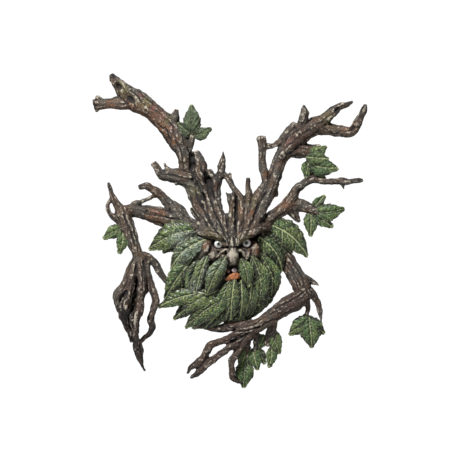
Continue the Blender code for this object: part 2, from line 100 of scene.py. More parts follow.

# %% [markdown]
# ## The drawing
#
# The limbs, lumps and leaves are listed here. A limb is a list of stations, each with its place and
# its radius. A leaf has its foot, its tip, its width, its roll in degrees and its number of teeth. The
# same drawing gives the solid its form, so the two agree.

# %% The crown
# Each limb is a list of stations (across, up, out, radius), measured out from the wall to its middle.
CROWN = {
    "left_antler": [
        (-10, -30, 97, 5), (-18, -16, 93, 8), (-32, 0, 84, 10), (-50, 26, 66, 12), (-66, 54, 54, 12),
        (-78, 84, 46, 12), (-87, 116, 42, 13), (-91, 144, 42, 15), (-98, 170, 42, 20), (-114, 198, 42, 23),
        (-138, 222, 42, 20), (-164, 244, 42, 20), (-190, 260, 42, 23), (-206, 271, 44, 18),
    ],
    "antler_top_prong": [(-190, 258, 42, 18), (-214, 282, 46, 16), (-230, 299, 50, 11), (-238, 312, 54, 4)],
    "antler_left_prong": [
        (-190, 257, 42, 16), (-222, 254, 40, 14), (-244, 254, 38, 11), (-262, 252, 36, 12),
        (-274, 249, 36, 14),
    ],
    "antler_left_nub": [(-256, 256, 38, 7), (-269, 269, 38, 4)],
    "antler_thorn": [(-114, 212, 46, 11), (-110, 228, 50, 9), (-106, 243, 52, 5)],
    "antler_leaf_stub": [(-88, 158, 46, 10), (-78, 180, 50, 7), (-76, 190, 55, 4)],
    "left_knuckle": [
        (-78, 106, 44, 14), (-104, 108, 46, 15), (-122, 110, 48, 13), (-136, 110, 50, 11),
        (-145, 124, 52, 8), (-154, 136, 54, 7),
    ],
    "left_knuckle_under": [(-66, 84, 50, 11), (-84, 92, 48, 10), (-100, 97, 50, 7), (-110, 92, 52, 4)],
    "left_knuckle_twig": [(-120, 116, 50, 6), (-129, 126, 54, 4), (-131, 136, 55, 3)],
    "crown_left": [
        (-5, -32, 98, 5), (-12, -14, 95, 8), (-24, 4, 86, 10), (-38, 34, 72, 12), (-50, 68, 58, 14),
        (-58, 106, 50, 17), (-64, 134, 46, 15), (-70, 158, 44, 8),
    ],
    "crown_left_edge": [(-52, 16, 58, 9), (-70, 36, 48, 9), (-80, 44, 44, 2)],
    "crown_left_inner": [
        (-1, -33, 97, 4), (-4, -14, 94, 7), (-11, 10, 85, 9), (-22, 38, 70, 11), (-28, 58, 62, 12),
        (-32, 80, 58, 13), (-36, 98, 54, 13), (-48, 118, 48, 11),
    ],
    "forehead_left": [
        (-62, 10, 64, 10), (-46, 0, 78, 10), (-30, -10, 90, 9), (-17, -22, 96, 7), (-9, -32, 98, 5),
    ],
    "left_horn": [
        (-27, 84, 56, 7), (-20, 108, 56, 9), (-16, 130, 58, 8), (-14, 145, 60, 5), (-14, 158, 62, 2),
    ],
    "left_horn_nub": [(-20, 112, 56, 6), (-23, 130, 58, 3)],
    "horn_leg": [
        (-18, 118, 56, 6), (-4, 102, 60, 6), (4, 90, 62, 6), (12, 76, 64, 8), (22, 58, 68, 10),
        (23, 32, 76, 10), (18, 4, 86, 9), (12, -16, 94, 7), (9, -34, 98, 5),
    ],
    "horn_leg_nub": [(-4, 100, 60, 5), (1, 115, 62, 3)],
    "centre_stub": [
        (3, -35, 98, 4), (3, -18, 94, 6), (4, 10, 87, 8), (4, 40, 76, 8), (3, 62, 72, 9), (1, 75, 72, 9),
    ],
    "centre_stub_corner": [(2, 64, 72, 6), (-9, 77, 72, 2)],
    "centre_spike": [
        (16, -28, 96, 6), (24, -8, 91, 8), (30, 16, 82, 9), (34, 40, 74, 9), (37, 66, 68, 8),
        (36, 88, 68, 6), (36, 104, 70, 4),
    ],
    "crown_right_inner": [
        (24, -20, 95, 7), (34, -2, 89, 9), (40, 22, 79, 11), (46, 48, 70, 11), (58, 70, 62, 11),
        (71, 92, 58, 10), (70, 108, 58, 9), (64, 134, 58, 8), (65, 160, 60, 8), (62, 187, 63, 9),
    ],
    "bridge_twig": [
        (64, 168, 60, 6), (82, 168, 56, 5), (96, 174, 52, 6), (108, 184, 50, 8), (118, 200, 48, 8),
        (132, 213, 48, 8),
    ],
    "right_antler": [
        (44, -4, 88, 10), (52, 14, 78, 12), (62, 42, 68, 13), (76, 68, 58, 13), (86, 96, 52, 14),
        (94, 124, 48, 15), (104, 148, 46, 16), (118, 168, 44, 19), (136, 186, 44, 20), (158, 202, 44, 19),
        (178, 214, 44, 17), (196, 226, 46, 13),
    ],
    "antler_spur": [(82, 92, 50, 12), (86, 74, 50, 11), (88, 65, 50, 9)],
    "right_thorn": [(138, 196, 48, 12), (147, 218, 54, 10), (148, 236, 58, 7), (148, 252, 60, 3)],
    "right_thorn_nub": [(150, 220, 56, 6), (157, 236, 58, 2)],
    "right_top_prong": [
        (180, 214, 46, 14), (206, 236, 50, 11), (218, 246, 54, 9), (232, 250, 58, 6), (245, 257, 62, 2),
    ],
    "right_low_prong": [
        (172, 206, 44, 14), (204, 202, 44, 13), (226, 198, 46, 12), (242, 198, 48, 11), (254, 212, 52, 9),
        (264, 230, 56, 8), (272, 252, 60, 4),
    ],
    "right_burl": [(112, 160, 42, 14), (140, 160, 40, 17), (162, 160, 42, 13), (182, 166, 46, 6)],
    "right_branch": [
        (48, 4, 70, 11), (70, 14, 62, 13), (86, 27, 56, 13), (101, 40, 54, 13), (116, 54, 50, 13),
        (127, 70, 48, 11), (134, 82, 48, 10), (150, 94, 46, 9), (166, 102, 46, 9), (182, 98, 46, 8),
        (202, 98, 46, 7), (226, 97, 46, 8), (244, 98, 48, 6), (267, 100, 50, 4),
    ],
    "right_branch_thorn": [(224, 94, 46, 6), (229, 81, 46, 2)],
    "right_branch_low": [
        (100, 38, 50, 12), (118, 46, 46, 13), (134, 50, 44, 14), (150, 47, 46, 13), (160, 43, 50, 11),
        (172, 36, 54, 8), (186, 24, 58, 4),
    ],
    "right_branch_drop": [(118, 50, 46, 13), (126, 36, 46, 11), (134, 24, 46, 7), (140, 17, 46, 2)],
}
print("the crown has", len(CROWN), "limbs")

# %% The arms
LEFT_ARM = {
    "left_shoulder": [
        (-36, -4, 80, 10), (-60, 6, 62, 12), (-80, 10, 50, 15), (-98, 24, 42, 18), (-110, 42, 40, 16),
        (-118, 56, 38, 9),
    ],
    "shoulder_twig": [
        (-112, 42, 40, 13), (-130, 60, 40, 10), (-144, 74, 42, 9), (-158, 84, 44, 7), (-170, 88, 46, 7),
        (-183, 84, 48, 5),
    ],
    "shoulder_loop": [
        (-146, 70, 42, 6), (-160, 64, 42, 4), (-174, 58, 42, 4), (-187, 54, 42, 6), (-198, 46, 42, 6),
    ],
    "left_upper_arm": [
        (-96, 20, 44, 16), (-128, 24, 40, 19), (-150, 30, 40, 18), (-170, 35, 40, 15), (-190, 38, 42, 13),
        (-210, 38, 44, 14), (-224, 32, 46, 12),
    ],
    "left_forearm": [
        (-219, 46, 46, 13), (-212, 22, 50, 17), (-203, 0, 54, 16), (-194, -24, 58, 13), (-186, -44, 60, 12),
        (-180, -64, 62, 15),
    ],
    "elbow_horn": [(-218, 38, 48, 12), (-231, 60, 52, 7), (-238, 76, 56, 5), (-243, 95, 60, 2)],
    "elbow_loop": [
        (-234, 66, 53, 4), (-244, 52, 50, 4), (-243, 36, 50, 5), (-234, 26, 50, 7), (-216, 12, 50, 9),
    ],
    "wrist_twig": [
        (-176, -50, 60, 9), (-154, -62, 58, 9), (-144, -80, 56, 8), (-134, -94, 54, 7), (-124, -106, 54, 5),
        (-112, -116, 54, 4),
    ],
    "left_finger_outer": [
        (-188, -56, 62, 9), (-196, -78, 66, 11), (-203, -102, 72, 12), (-212, -118, 80, 12),
        (-225, -130, 84, 10), (-222, -148, 80, 9), (-216, -166, 74, 9), (-208, -186, 68, 8),
        (-201, -206, 64, 6), (-196, -224, 60, 3),
    ],
    "left_finger_second": [
        (-188, -64, 68, 9), (-196, -96, 78, 9), (-200, -126, 88, 8), (-211, -151, 96, 10),
        (-206, -172, 88, 8), (-200, -192, 80, 6), (-196, -210, 74, 4),
    ],
    "left_finger_long": [
        (-180, -60, 68, 9), (-176, -92, 78, 9), (-176, -119, 86, 10), (-178, -140, 92, 8),
        (-181, -160, 96, 9), (-189, -176, 100, 11), (-189, -198, 94, 8), (-187, -220, 86, 8),
        (-183, -237, 78, 11), (-181, -252, 70, 8), (-176, -268, 64, 5), (-170, -282, 58, 2),
    ],
    "left_thumb": [
        (-168, -62, 64, 9), (-166, -86, 66, 9), (-162, -106, 66, 9), (-154, -120, 66, 8),
        (-148, -142, 66, 8), (-154, -160, 68, 7), (-158, -180, 70, 8), (-155, -194, 72, 8),
        (-163, -208, 76, 6), (-174, -218, 82, 5), (-182, -226, 84, 4),
    ],
}

RIGHT_ARM = {
    "right_upper_arm": [
        (64, -16, 40, 14), (96, -34, 40, 14), (114, -56, 42, 15), (122, -76, 44, 17), (132, -94, 48, 18),
        (142, -110, 52, 19), (150, -128, 56, 17),
    ],
    "right_forearm": [
        (154, -122, 56, 14), (140, -138, 60, 18), (120, -148, 62, 18), (100, -160, 64, 17),
        (80, -176, 66, 15), (60, -188, 68, 14), (38, -198, 68, 15), (20, -206, 66, 12),
    ],
    "right_elbow_spur": [(146, -98, 52, 11), (160, -102, 52, 7), (170, -106, 52, 4), (179, -112, 52, 1)],
    "elbow_root_long": [
        (152, -118, 54, 12), (170, -134, 52, 8), (178, -152, 50, 6), (181, -172, 50, 4), (184, -190, 54, 2),
    ],
    "elbow_root_short": [(148, -130, 56, 11), (156, -154, 56, 6), (154, -168, 58, 6), (154, -184, 60, 4)],
    "wrist_stalk": [(86, -178, 62, 12), (83, -196, 58, 9), (76, -212, 57, 7), (73, -232, 57, 5)],
    "wrist_twig_right": [(82, -192, 58, 7), (88, -208, 57, 5), (85, -236, 57, 4)],
    "palm_stalk": [(48, -196, 62, 8), (54, -214, 58, 7), (52, -232, 57, 5), (48, -248, 57, 4)],
    "curl_stalk": [(34, -208, 62, 8), (34, -244, 58, 5), (33, -268, 58, 4)],
    "right_finger_top": [
        (44, -190, 66, 12), (20, -191, 62, 10), (-4, -194, 60, 10), (-28, -198, 58, 8), (-48, -196, 56, 4),
        (-72, -195, 54, 2),
    ],
    "right_finger_second": [
        (34, -200, 68, 11), (8, -212, 74, 10), (-14, -221, 82, 8), (-37, -228, 90, 8), (-46, -242, 88, 7),
        (-55, -258, 82, 9), (-69, -268, 76, 8), (-80, -277, 70, 5), (-86, -287, 66, 3),
    ],
    "right_finger_third": [
        (32, -208, 68, 11), (12, -226, 76, 9), (-8, -239, 84, 8), (-27, -253, 88, 8), (-43, -264, 84, 8),
        (-58, -278, 78, 8), (-68, -288, 72, 6), (-79, -295, 68, 2),
    ],
    "right_finger_curl": [
        (36, -206, 64, 11), (22, -234, 70, 9), (10, -250, 76, 8), (2, -264, 78, 7), (4, -280, 74, 7),
        (5, -294, 70, 7), (16, -303, 64, 5), (28, -306, 60, 4),
    ],
}
print("the arms have", len(LEFT_ARM), "and", len(RIGHT_ARM), "limbs")

# %% The face
FACE_RIDGES = {
    "brow_left": [
        (-64, -2, 72, 8), (-46, -7, 86, 10), (-26, -9, 95, 10), (-12, -14, 99, 8), (-4, -24, 100, 6),
    ],
    "brow_right": [
        (78, 8, 66, 9), (62, 5, 78, 10), (46, -3, 90, 11), (29, -10, 97, 10), (17, -22, 100, 7),
        (12, -32, 100, 4),
    ],
    "nose_bridge": [
        (4, -24, 96, 6), (5, -36, 99, 7), (6, -44, 101, 10), (6, -51, 103, 12), (6, -58, 103, 10),
        (7, -65, 102, 6), (7, -71, 100, 2),
    ],
    "nostril_left": [(0, -45, 101, 4), (-9, -40, 98, 4), (-17, -44, 97, 4), (-26, -55, 93, 3)],
    "nostril_left_low": [(-4, -54, 100, 4), (-14, -52, 97, 3), (-24, -62, 92, 2)],
    "nostril_right": [(12, -46, 101, 4), (20, -41, 98, 4), (27, -47, 96, 4), (33, -58, 92, 3)],
    "lid_left": [(-39, -20, 84, 4), (-33, -35, 87, 3), (-21, -39, 91, 3), (-9, -34, 94, 3)],
    "lid_right": [(15, -34, 94, 3), (27, -38, 91, 3), (41, -36, 87, 3), (48, -22, 83, 4)],
    "lower_lip": [
        (-9, -99, 85, 2), (-3, -96, 88, 5), (6, -93, 90, 7), (14, -91, 89, 7), (19, -93, 86, 4),
    ],
}

# Rounded lumps: (across, up, out) of the middle, then the half sizes (across, up, out)
LUMPS = {
    "cheek_left": ((-46, -34, 82), (9, 15, 14)),
    "cheek_left_low": ((-33, -49, 84), (11, 12, 11)),
    "cheek_right": ((50, -39, 82), (11, 18, 14)),
    "cheek_right_low": ((35, -48, 84), (10, 11, 11)),
    "temple_left": ((-62, -8, 48), (14, 16, 22)),
    "temple_right": ((68, -6, 48), (14, 16, 22)),
    "palm_left": ((-180, -94, 60), (23, 43, 14)),
    "palm_left_low": ((-200, -136, 60), (17, 34, 15)),
    "palm_right": ((30, -206, 64), (24, 18, 15)),
}
SKULL = ((4, -76, 0), (80, 112, 84))
FOREHEAD = ((8, -2, 18), (50, 36, 66))
EYES = {"eye_left": (-23, -28, 89), "eye_right": (33, -26, 88)}
TEETH = {"tooth_left": ((-3, -82, 84), 3.6), "tooth_right": ((9, -80, 89), 5.2)}
print("the face has", len(FACE_RIDGES), "ridges and", len(LUMPS) + 2, "lumps")

# %% The leaves
# Each leaf: (across, up, out) of its foot and of its tip, its width, its roll about its own
# length in degrees, the number of teeth on each edge, and how far it bends to its side.
BEARD_LEAVES = {
    "jaw_left_back": ((-60, -88, 64), (-106, -130, 54), 36, 4, 3, 0),
    "beard_low_back": ((4, -146, 66), (-74, -198, 52), 36, 0, 4, 0),
    "mane_left_high": ((-62, 2, 66), (-162, -38, 54), 54, 8, 4, 0.07),
    "mane_left_low": ((-64, -8, 62), (-134, -44, 48), 36, 10, 3, 0.05),
    "mane_right_high": ((64, 16, 62), (156, -52, 50), 52, -6, 4, -0.1),
    "mane_right_low": ((60, -14, 72), (124, -46, 50), 36, -8, 3, -0.08),
    "beard_right_edge": ((76, -104, 58), (58, -164, 48), 30, 8, 3, -0.06),
    "beard_right_low": ((66, -92, 68), (34, -180, 54), 38, 6, 4, -0.1),
    "beard_low_right": ((32, -144, 74), (-12, -192, 56), 38, 0, 4, 0),
    "beard_low_mid": ((16, -138, 82), (-52, -198, 58), 38, 2, 4, 0.03),
    "beard_low_left": ((6, -126, 88), (-90, -195, 60), 42, 4, 5, 0.03),
    "beard_left_under": ((-50, -136, 72), (-112, -178, 58), 32, 6, 4, 0.04),
    "beard_left_tip": ((-56, -126, 78), (-143, -154, 62), 32, 8, 4, 0.05),
    "beard_left_mid": ((-22, -120, 86), (-100, -168, 68), 32, 6, 4, 0.05),
    "jaw_left_outer": ((-74, -56, 68), (-129, -137, 58), 42, -8, 4, 0.04),
    "jaw_left_inner": ((-62, -56, 76), (-82, -140, 66), 28, -6, 4, 0.05),
    "cheek_leaf_left": ((-48, -18, 86), (-119, -78, 62), 42, 12, 4, 0.09),
    "cheek_leaf_right": ((58, -14, 80), (105, -82, 58), 40, -12, 4, -0.1),
    "beard_right_outer": ((58, -44, 82), (78, -146, 52), 38, 12, 5, -0.16),
    "moustache_left_outer": ((-44, -50, 88), (-68, -128, 82), 28, -8, 4, 0.05),
    "moustache_right_outer": ((44, -52, 92), (56, -150, 74), 38, 8, 5, -0.12),
    "beard_right_mid": ((44, -90, 87), (26, -178, 64), 32, 6, 4, -0.06),
    "chin_right": ((22, -100, 91), (20, -176, 70), 26, 2, 4, -0.04),
    "chin_left": ((2, -100, 90), (-24, -168, 80), 24, 4, 4, 0.04),
    "chin": ((9, -98, 95), (2, -178, 76), 28, 0, 5, 0.02),
    "moustache_left": ((-8, -54, 102), (-46, -128, 92), 34, -10, 4, 0.05),
    "moustache_right": ((22, -57, 102), (36, -112, 95), 30, 10, 4, -0.08),
}
SPRIG_LEAVES = {
    "antler_leaf_top": ((-76, 188, 57), (-76, 249, 62), 36, 0, 3, 0),
    "antler_leaf_left": ((-77, 190, 57), (-104, 212, 60), 30, 0, 2, 0),
    "antler_leaf_right": ((-75, 187, 57), (-39, 202, 60), 26, 0, 2, 0.05),
    "burl_leaf_top": ((158, 142, 52), (192, 166, 56), 30, 0, 2, 0),
    "burl_leaf_right": ((154, 134, 50), (216, 124, 56), 38, 0, 3, 0.06),
    "burl_leaf_low": ((158, 140, 50), (152, 106, 50), 26, 0, 2, 0),
    "burl_leaf_middle": ((152, 146, 54), (196, 142, 58), 30, 0, 2, 0),
    "burl_leaf_under": ((160, 118, 46), (202, 120, 48), 26, 0, 2, 0),
    "branch_leaf_under": ((158, 108, 46), (190, 104, 48), 18, 0, 2, 0),
    "branch_leaf_up": ((166, 42, 54), (189, 68, 56), 22, 0, 2, 0),
    "branch_leaf_right": ((168, 34, 58), (227, 42, 62), 36, 0, 3, 0.05),
    "branch_leaf_low": ((168, 34, 56), (204, 6, 58), 28, 0, 2, 0),
    "branch_leaf_down": ((162, 40, 54), (162, -11, 56), 30, 0, 3, 0),
    "forearm_leaf_left": ((-212, 4, 58), (-252, -16, 62), 28, 0, 2, 0.06),
    "forearm_leaf_down": ((-214, 0, 60), (-221, -46, 64), 26, 0, 3, -0.06),
    "elbow_leaf_tip": ((158, -174, 62), (164, -234, 62), 44, 0, 2, 0),
    "elbow_leaf_left": ((162, -176, 61), (119, -208, 60), 36, 0, 2, 0),
    "elbow_leaf_right": ((154, -178, 61), (188, -206, 60), 30, 0, 2, 0),
    "elbow_leaf_top": ((158, -190, 59), (150, -170, 58), 30, 0, 1, 0),
    "palm_leaf_high": ((62, -208, 56), (50, -240, 57), 20, 0, 2, 0),
    "palm_leaf_low": ((46, -236, 58), (56, -278, 62), 29, 0, 3, 0.04),
    "palm_leaf_back": ((56, -236, 56), (69, -267, 57), 20, 0, 2, 0),
    "wrist_leaf_low": ((84, -232, 58), (79, -274, 60), 23, 0, 3, -0.04),
    "wrist_leaf_high": ((88, -200, 58), (99, -246, 60), 27, 0, 3, 0.05),
    "wrist_leaf_back": ((70, -210, 58), (55, -240, 59), 21, 0, 2, 0),
    "curl_leaf_high": ((37, -232, 58), (20, -278, 60), 28, 0, 2, 0),
    "curl_leaf_round": ((31, -260, 60), (27, -314, 62), 38, 0, 2, 0),
}
print("the beard has", len(BEARD_LEAVES), "leaves and the sprigs have", len(SPRIG_LEAVES))

# %% Knots, hollows and patches of paint
# Knots are (across, up, out, size), hollows are (across, up, size, depth) and patches are
# (across, up, radius).
HEAD_KNOTS = [
    (-96, 142, 58, 8), (-120, 196, 60, 8), (-168, 240, 60, 9), (-60, 108, 64, 8), (104, 148, 60, 9),
    (140, 190, 62, 9), (202, 222, 60, 7), (60, 84, 66, 7), (120, 46, 62, 7), (-52, 40, 74, 6),
    (90, 110, 62, 6),
]
LEFT_ARM_KNOTS = [
    (-150, 30, 58, 8), (-216, 34, 60, 8), (-190, -40, 72, 6), (-176, -119, 96, 9), (-118, 24, 60, 7),
    (-183, -238, 88, 7),
]
RIGHT_ARM_KNOTS = [(116, -64, 60, 7), (146, -114, 70, 8), (100, -158, 80, 7), (44, -198, 82, 6)]
HEAD_HOLLOWS = [
    (-224, 287, 8, 9), (-200, 262, 9, 8), (-277, 249, 8, 6), (-43, 100, 8, 9), (-54, 66, 7, 7),
    (214, 240, 6, 5), (244, 204, 7, 6), (-74, 130, 6, 5),
]
BARK_PATCHES = {
    "rust": [
        (-168, 230, 28), (-200, 242, 18), (-140, 206, 20), (-240, 248, 14), (-112, 176, 10), (-144, 32, 16),
        (-158, 22, 12), (20, 40, 10), (44, 36, 10), (108, 50, 16), (51, -38, 20), (-46, -34, 12),
        (44, -20, 8), (22, -4, 8), (74, 110, 8), (-28, 86, 9), (-206, -151, 10), (150, 186, 12),
        (236, 202, 14), (40, -10, 12), (-192, -176, 8),
    ],
    "moss": [
        (-214, 284, 18), (-168, 256, 18), (-126, 220, 12), (-28, -16, 16), (30, -16, 12), (46, 54, 12),
        (196, 222, 14), (-70, 80, 14), (6, 30, 10), (-36, -12, 16), (-20, -14, 10), (24, -18, 10),
    ],
    "rose": [
        (68, 190, 6), (-136, 226, 9), (-116, 206, 8), (-154, 244, 8), (-178, 268, 7), (-150, 34, 7),
        (120, 176, 8),
    ],
    "ruddy": [
        (-180, -120, 40), (-186, -180, 44), (-184, -240, 34), (10, -210, 50), (-40, -250, 40),
        (120, -150, 40), (140, 190, 30), (14, -290, 24),
    ],
    "burnt": [
        (-238, 312, 14), (264, 102, 16), (272, 252, 16), (-170, -280, 26), (-86, -290, 22), (-278, 250, 10),
        (242, 256, 14), (-15, 158, 14), (36, 104, 12), (-243, 95, 14), (-194, -226, 22), (182, -190, 14),
        (30, -306, 14), (-40, 90, 26), (-62, 60, 12), (-205, -170, 16), (-156, -200, 18), (148, 252, 12),
        (-182, 84, 10),
    ],
    "pale": [
        (-192, -176, 8), (-207, -152, 7), (6, -50, 16), (7, -62, 9), (-34, -50, 6), (36, -50, 6),
        (6, -24, 12),
    ],
}
EYE_RIMS = [((-26, -28), (14, 9)), ((32, -27), (15, 10)), ((16, -34), (9, 4))]
# Spots of painted sheen on the left cheek's leaves: (across, up, radius).
PAINTED_SHEEN_PATCHES = [
    (-60, -42, 20), (-88, -50, 20), (-44, -82, 14), (-70, -110, 16), (-20, -70, 12), (-104, -16, 18),
]
print("patches of paint:", ", ".join(f"{len(spots)} of {name}" for name, spots in BARK_PATCHES.items()))

# %% Creases
# Creases are the dark clefts between limbs: their path over the front, then their width and depth.
HEAD_CREASES = [
    ([(-10, -24), (-26, -4), (-41, 16), (-56, 48)], 1.8, 4),
    ([(-4, -24), (-15, 4), (-31, 38), (-42, 70)], 1.8, 4), ([(-2, -28), (-5, 2), (-7, 40)], 1.5, 4),
    ([(8, -34), (12, -4), (12, 38), (13, 66)], 2.0, 7), ([(18, -20), (26, 6), (29, 44)], 1.6, 4),
    ([(32, -10), (46, 20), (57, 50), (74, 76)], 1.8, 4),
    ([(-52, 62), (-68, 92), (-76, 128), (-76, 150)], 3.4, 9), ([(-32, 62), (-40, 88), (-48, 116)], 3.4, 9),
    ([(0, -32), (0, -14)], 1.5, 5), ([(7, -32), (7, -14)], 1.5, 5), ([(14, -30), (15, -16)], 1.5, 5),
    ([(-14, -34), (4, -33), (20, -34)], 2.0, 6), ([(-60, -12), (-44, -17), (-30, -18)], 2.2, 5),
    ([(40, -19), (56, -18), (62, -22)], 2.2, 5), ([(-52, -48), (-41, -44), (-38, -34)], 2.0, 6),
    ([(40, -58), (42, -40)], 1.8, 5), ([(-18, -64), (-11, -52), (-8, -42)], 2.0, 6),
    ([(20, -62), (20, -46)], 2.0, 6),
]
LEFT_ARM_CREASES = [
    ([(-189, -112), (-190, -138), (-195, -164), (-197, -196)], 4.6, 15),
    ([(-206, -124), (-216, -142), (-213, -166), (-203, -196)], 3.2, 9),
    ([(-187, -66), (-188, -104)], 2.6, 6), ([(-172, -62), (-168, -100)], 2.6, 6),
    ([(-166, -112), (-170, -140)], 2.6, 6), ([(-212, 30), (-200, 2), (-190, -30)], 2.4, 4),
    ([(-199, -176), (-194, -206)], 2.2, 6), ([(-112, 22), (-140, 30), (-168, 38)], 2.2, 4),
]
RIGHT_ARM_CREASES = [
    ([(10, -200), (34, -201), (58, -194)], 2.6, 7), ([(2, -222), (22, -214), (44, -204)], 2.6, 7),
    ([(20, -226), (32, -212)], 2.4, 6), ([(146, -124), (120, -140), (92, -156)], 2.2, 4),
    ([(118, -66), (130, -92), (144, -114)], 2.4, 4),
]
print(len(HEAD_CREASES) + len(LEFT_ARM_CREASES) + len(RIGHT_ARM_CREASES), "creases")

# %% Colours of the bark
GREY_BROWN = (0.088, 0.076, 0.062, 1)
WARM_BROWN = (0.12, 0.068, 0.038, 1)
DEEP_BROWN = (0.012, 0.008, 0.006, 1)
ASH = (0.27, 0.265, 0.22, 1)
PINK_GREY = (0.29, 0.22, 0.18, 1)
BEIGE = (0.54, 0.48, 0.38, 1)
RUST = (0.36, 0.14, 0.05, 1)
MOSS = (0.2, 0.18, 0.05, 1)
ROSE = (0.4, 0.12, 0.11, 1)
RED_BROWN = (0.085, 0.038, 0.025, 1)
MAROON = (0.03, 0.008, 0.01, 1)
# Near black green: painted shade on the skull under the leaves.
SHADE_UNDER_LEAVES = (0.008, 0.013, 0.007, 1)
SOOT = (0.009, 0.006, 0.005, 1)
BACK_COAT = (0.055, 0.045, 0.036, 1)
print("bark coats run from", SOOT[:3], "to", BEIGE[:3])

# %% Colours of the leaves and eyes
LEAF_GREEN = (0.05, 0.125, 0.03, 1)
OLIVE = (0.14, 0.19, 0.04, 1)
SPRING_GREEN = (0.6, 0.76, 0.26, 1)
DEEP_GREEN = (0.012, 0.021, 0.01, 1)
NIGHT_GREEN = (0.005, 0.008, 0.005, 1)
LIME = (0.58, 0.66, 0.3, 1)
# A pale grey green, painted on as the leaves' sheen.
PAINTED_SHEEN_GREEN = (0.42, 0.48, 0.42, 1)
SPRIG_GREEN = (0.06, 0.135, 0.034, 1)
SPRIG_OLIVE = (0.13, 0.19, 0.05, 1)
SPRIG_LIGHT = (0.36, 0.48, 0.17, 1)
SAGE = (0.062, 0.092, 0.04, 1)
SAGE_LIGHT = (0.105, 0.14, 0.068, 1)
EYE_WHITE = (0.8, 0.79, 0.76, 1)
# Reddish grey for the eye's veins and for the painted shade at the edge of the eye.
EYE_VEINS_AND_EDGE_SHADE = (0.3, 0.24, 0.22, 1)
IRIS_GREY = (0.17, 0.2, 0.15, 1)
IRIS_RING = (0.04, 0.05, 0.04, 1)
print("leaf coats run from", NIGHT_GREEN[:3], "to", SPRING_GREEN[:3])

# %% [markdown]
# ## Meshes from arrays
#
# The carving is worked out on whole arrays of points at once. These few functions carry points and
# masks between numpy and a mesh. A mask is stored on the mesh as a point attribute, and the paint reads
# it by its name.

# %% Arrays in and out of a mesh
def read_points(mesh, field="co"):
    values = np.empty(len(mesh.vertices) * 3)
    if field == "co":
        mesh.vertices.foreach_get("co", values)
    else:
        mesh.vertex_normals.foreach_get("vector", values)
    return values.reshape(-1, 3)


def write_points(mesh, points):
    mesh.vertices.foreach_set("co", points.ravel())
    mesh.update()


def write_mask(mesh, name, values):
    kind = "FLOAT_VECTOR" if values.ndim == 2 else "FLOAT"
    layer = mesh.attributes.new(name, kind, "POINT")
    layer.data.foreach_set("vector" if values.ndim == 2 else "value", values.astype(np.float32).ravel())


def to_rows(points):
    """Metres in the casting's frame to (across, up, out) in rows."""
    return np.stack([points[:, 0], points[:, 2], -points[:, 1]], axis=1) / ROW


def step(low, high, values):
    """0 below low, 1 above high, and a smooth rise between them."""
    share = np.clip((values - low) / (high - low), 0, 1)
    return share * share * (3 - 2 * share)


def place(name, mesh, material=None):
    mesh.name = name
    made = bpy.data.objects.new(name, mesh)
    bpy.context.scene.collection.objects.link(made)
    if material:
        mesh.materials.append(material)
    return made


def smooth_noise(points, seed=0):
    """Noise between -1 and 1 that changes smoothly over one unit, for each row of points."""
    base = np.floor(points)
    part = points - base
    ease = part * part * (3 - 2 * part)
    total = np.zeros(len(points))
    for corner in product((0, 1), repeat=3):
        here = base + corner
        dots = here @ np.array([127.1, 311.7, 74.7]) + 19.19 * seed
        value = np.modf(np.abs(np.sin(dots) * 43758.5453))[0] * 2 - 1
        total += value * np.prod(np.where(corner, ease, 1 - ease), axis=1)
    return total


print("the noise half way between its knots is", round(float(smooth_noise(np.ones((1, 3)) / 2)[0]), 3))


# %% [markdown]
# ## Clay
#
# Each limb is a rounded tube along a smooth path through its stations. The tubes and lumps are joined
# and given one even skin by a voxel remesh, just as a modeller smooths one roll of clay into the next.
# The skin is flattened where it meets the wall.

# %% A smooth path
def smooth_path(stations, samples=4):
    """A Catmull-Rom curve through the stations, with their radius as a fourth coordinate."""
    points = np.array(stations, float)
    ends = np.vstack([2 * points[0] - points[1], points, 2 * points[-1] - points[-2]])
    path = []
    for before, start, stop, after in zip(ends, ends[1:], ends[2:], ends[3:]):
        for t in np.linspace(0, 1, samples, endpoint=False):
            path.append(
                0.5 * (2 * start + (stop - before) * t + (2 * before - 5 * start + 4 * stop - after) * t**2
                       + (3 * start - before - 3 * stop + after) * t**3)
            )
    path.append(points[-1])
    path = np.array(path)
    path[:, 3] = np.maximum(path[:, 3], 1)
    return path


thorn = CROWN["antler_thorn"]
print(len(thorn), "stations of a thorn make a path of", len(smooth_path(thorn)), "places")


# %% Limbs and lumps of clay
def add_limb(clay, stations, sides=12):
    """One tube, with a ring of points around each place on its path."""
    path = smooth_path(stations)
    along = np.gradient(path[:, :3], axis=0)
    rings = []
    for (across, up, out, radius), heading in zip(path, along):
        heading = Vector((heading[0], -heading[2], heading[1])).normalized()
        front = Vector((0, -1, 0))
        front = (front - front.dot(heading) * heading).normalized()
        side = heading.cross(front)
        ring = []
        for number in range(sides):
            angle = 2 * math.pi * number / sides
            lean = front * math.cos(angle) + side * math.sin(angle)
            ring.append(clay.verts.new(spot(across, up, out) + lean * radius * ROW))
        rings.append(ring)
    for lower, upper in zip(rings, rings[1:]):
        for number in range(sides):
            after = (number + 1) % sides
            clay.faces.new((lower[number], lower[after], upper[after], upper[number]))
    clay.faces.new(rings[0][::-1])
    clay.faces.new(rings[-1])


def add_lump(clay, middle, half):
    """One round lump, such as a cheek or a palm."""
    across, up, out = half
    size = Matrix.Diagonal((across * ROW, out * ROW, up * ROW, 1))
    turn = Matrix.Rotation(math.radians(90), 4, "X")
    bmesh.ops.create_uvsphere(
        clay, u_segments=40, v_segments=24, radius=1, matrix=Matrix.Translation(spot(*middle)) @ size @ turn
    )


trial = bmesh.new()
add_limb(trial, thorn)
print("the thorn's tube has", len(trial.faces), "faces")
trial.free()


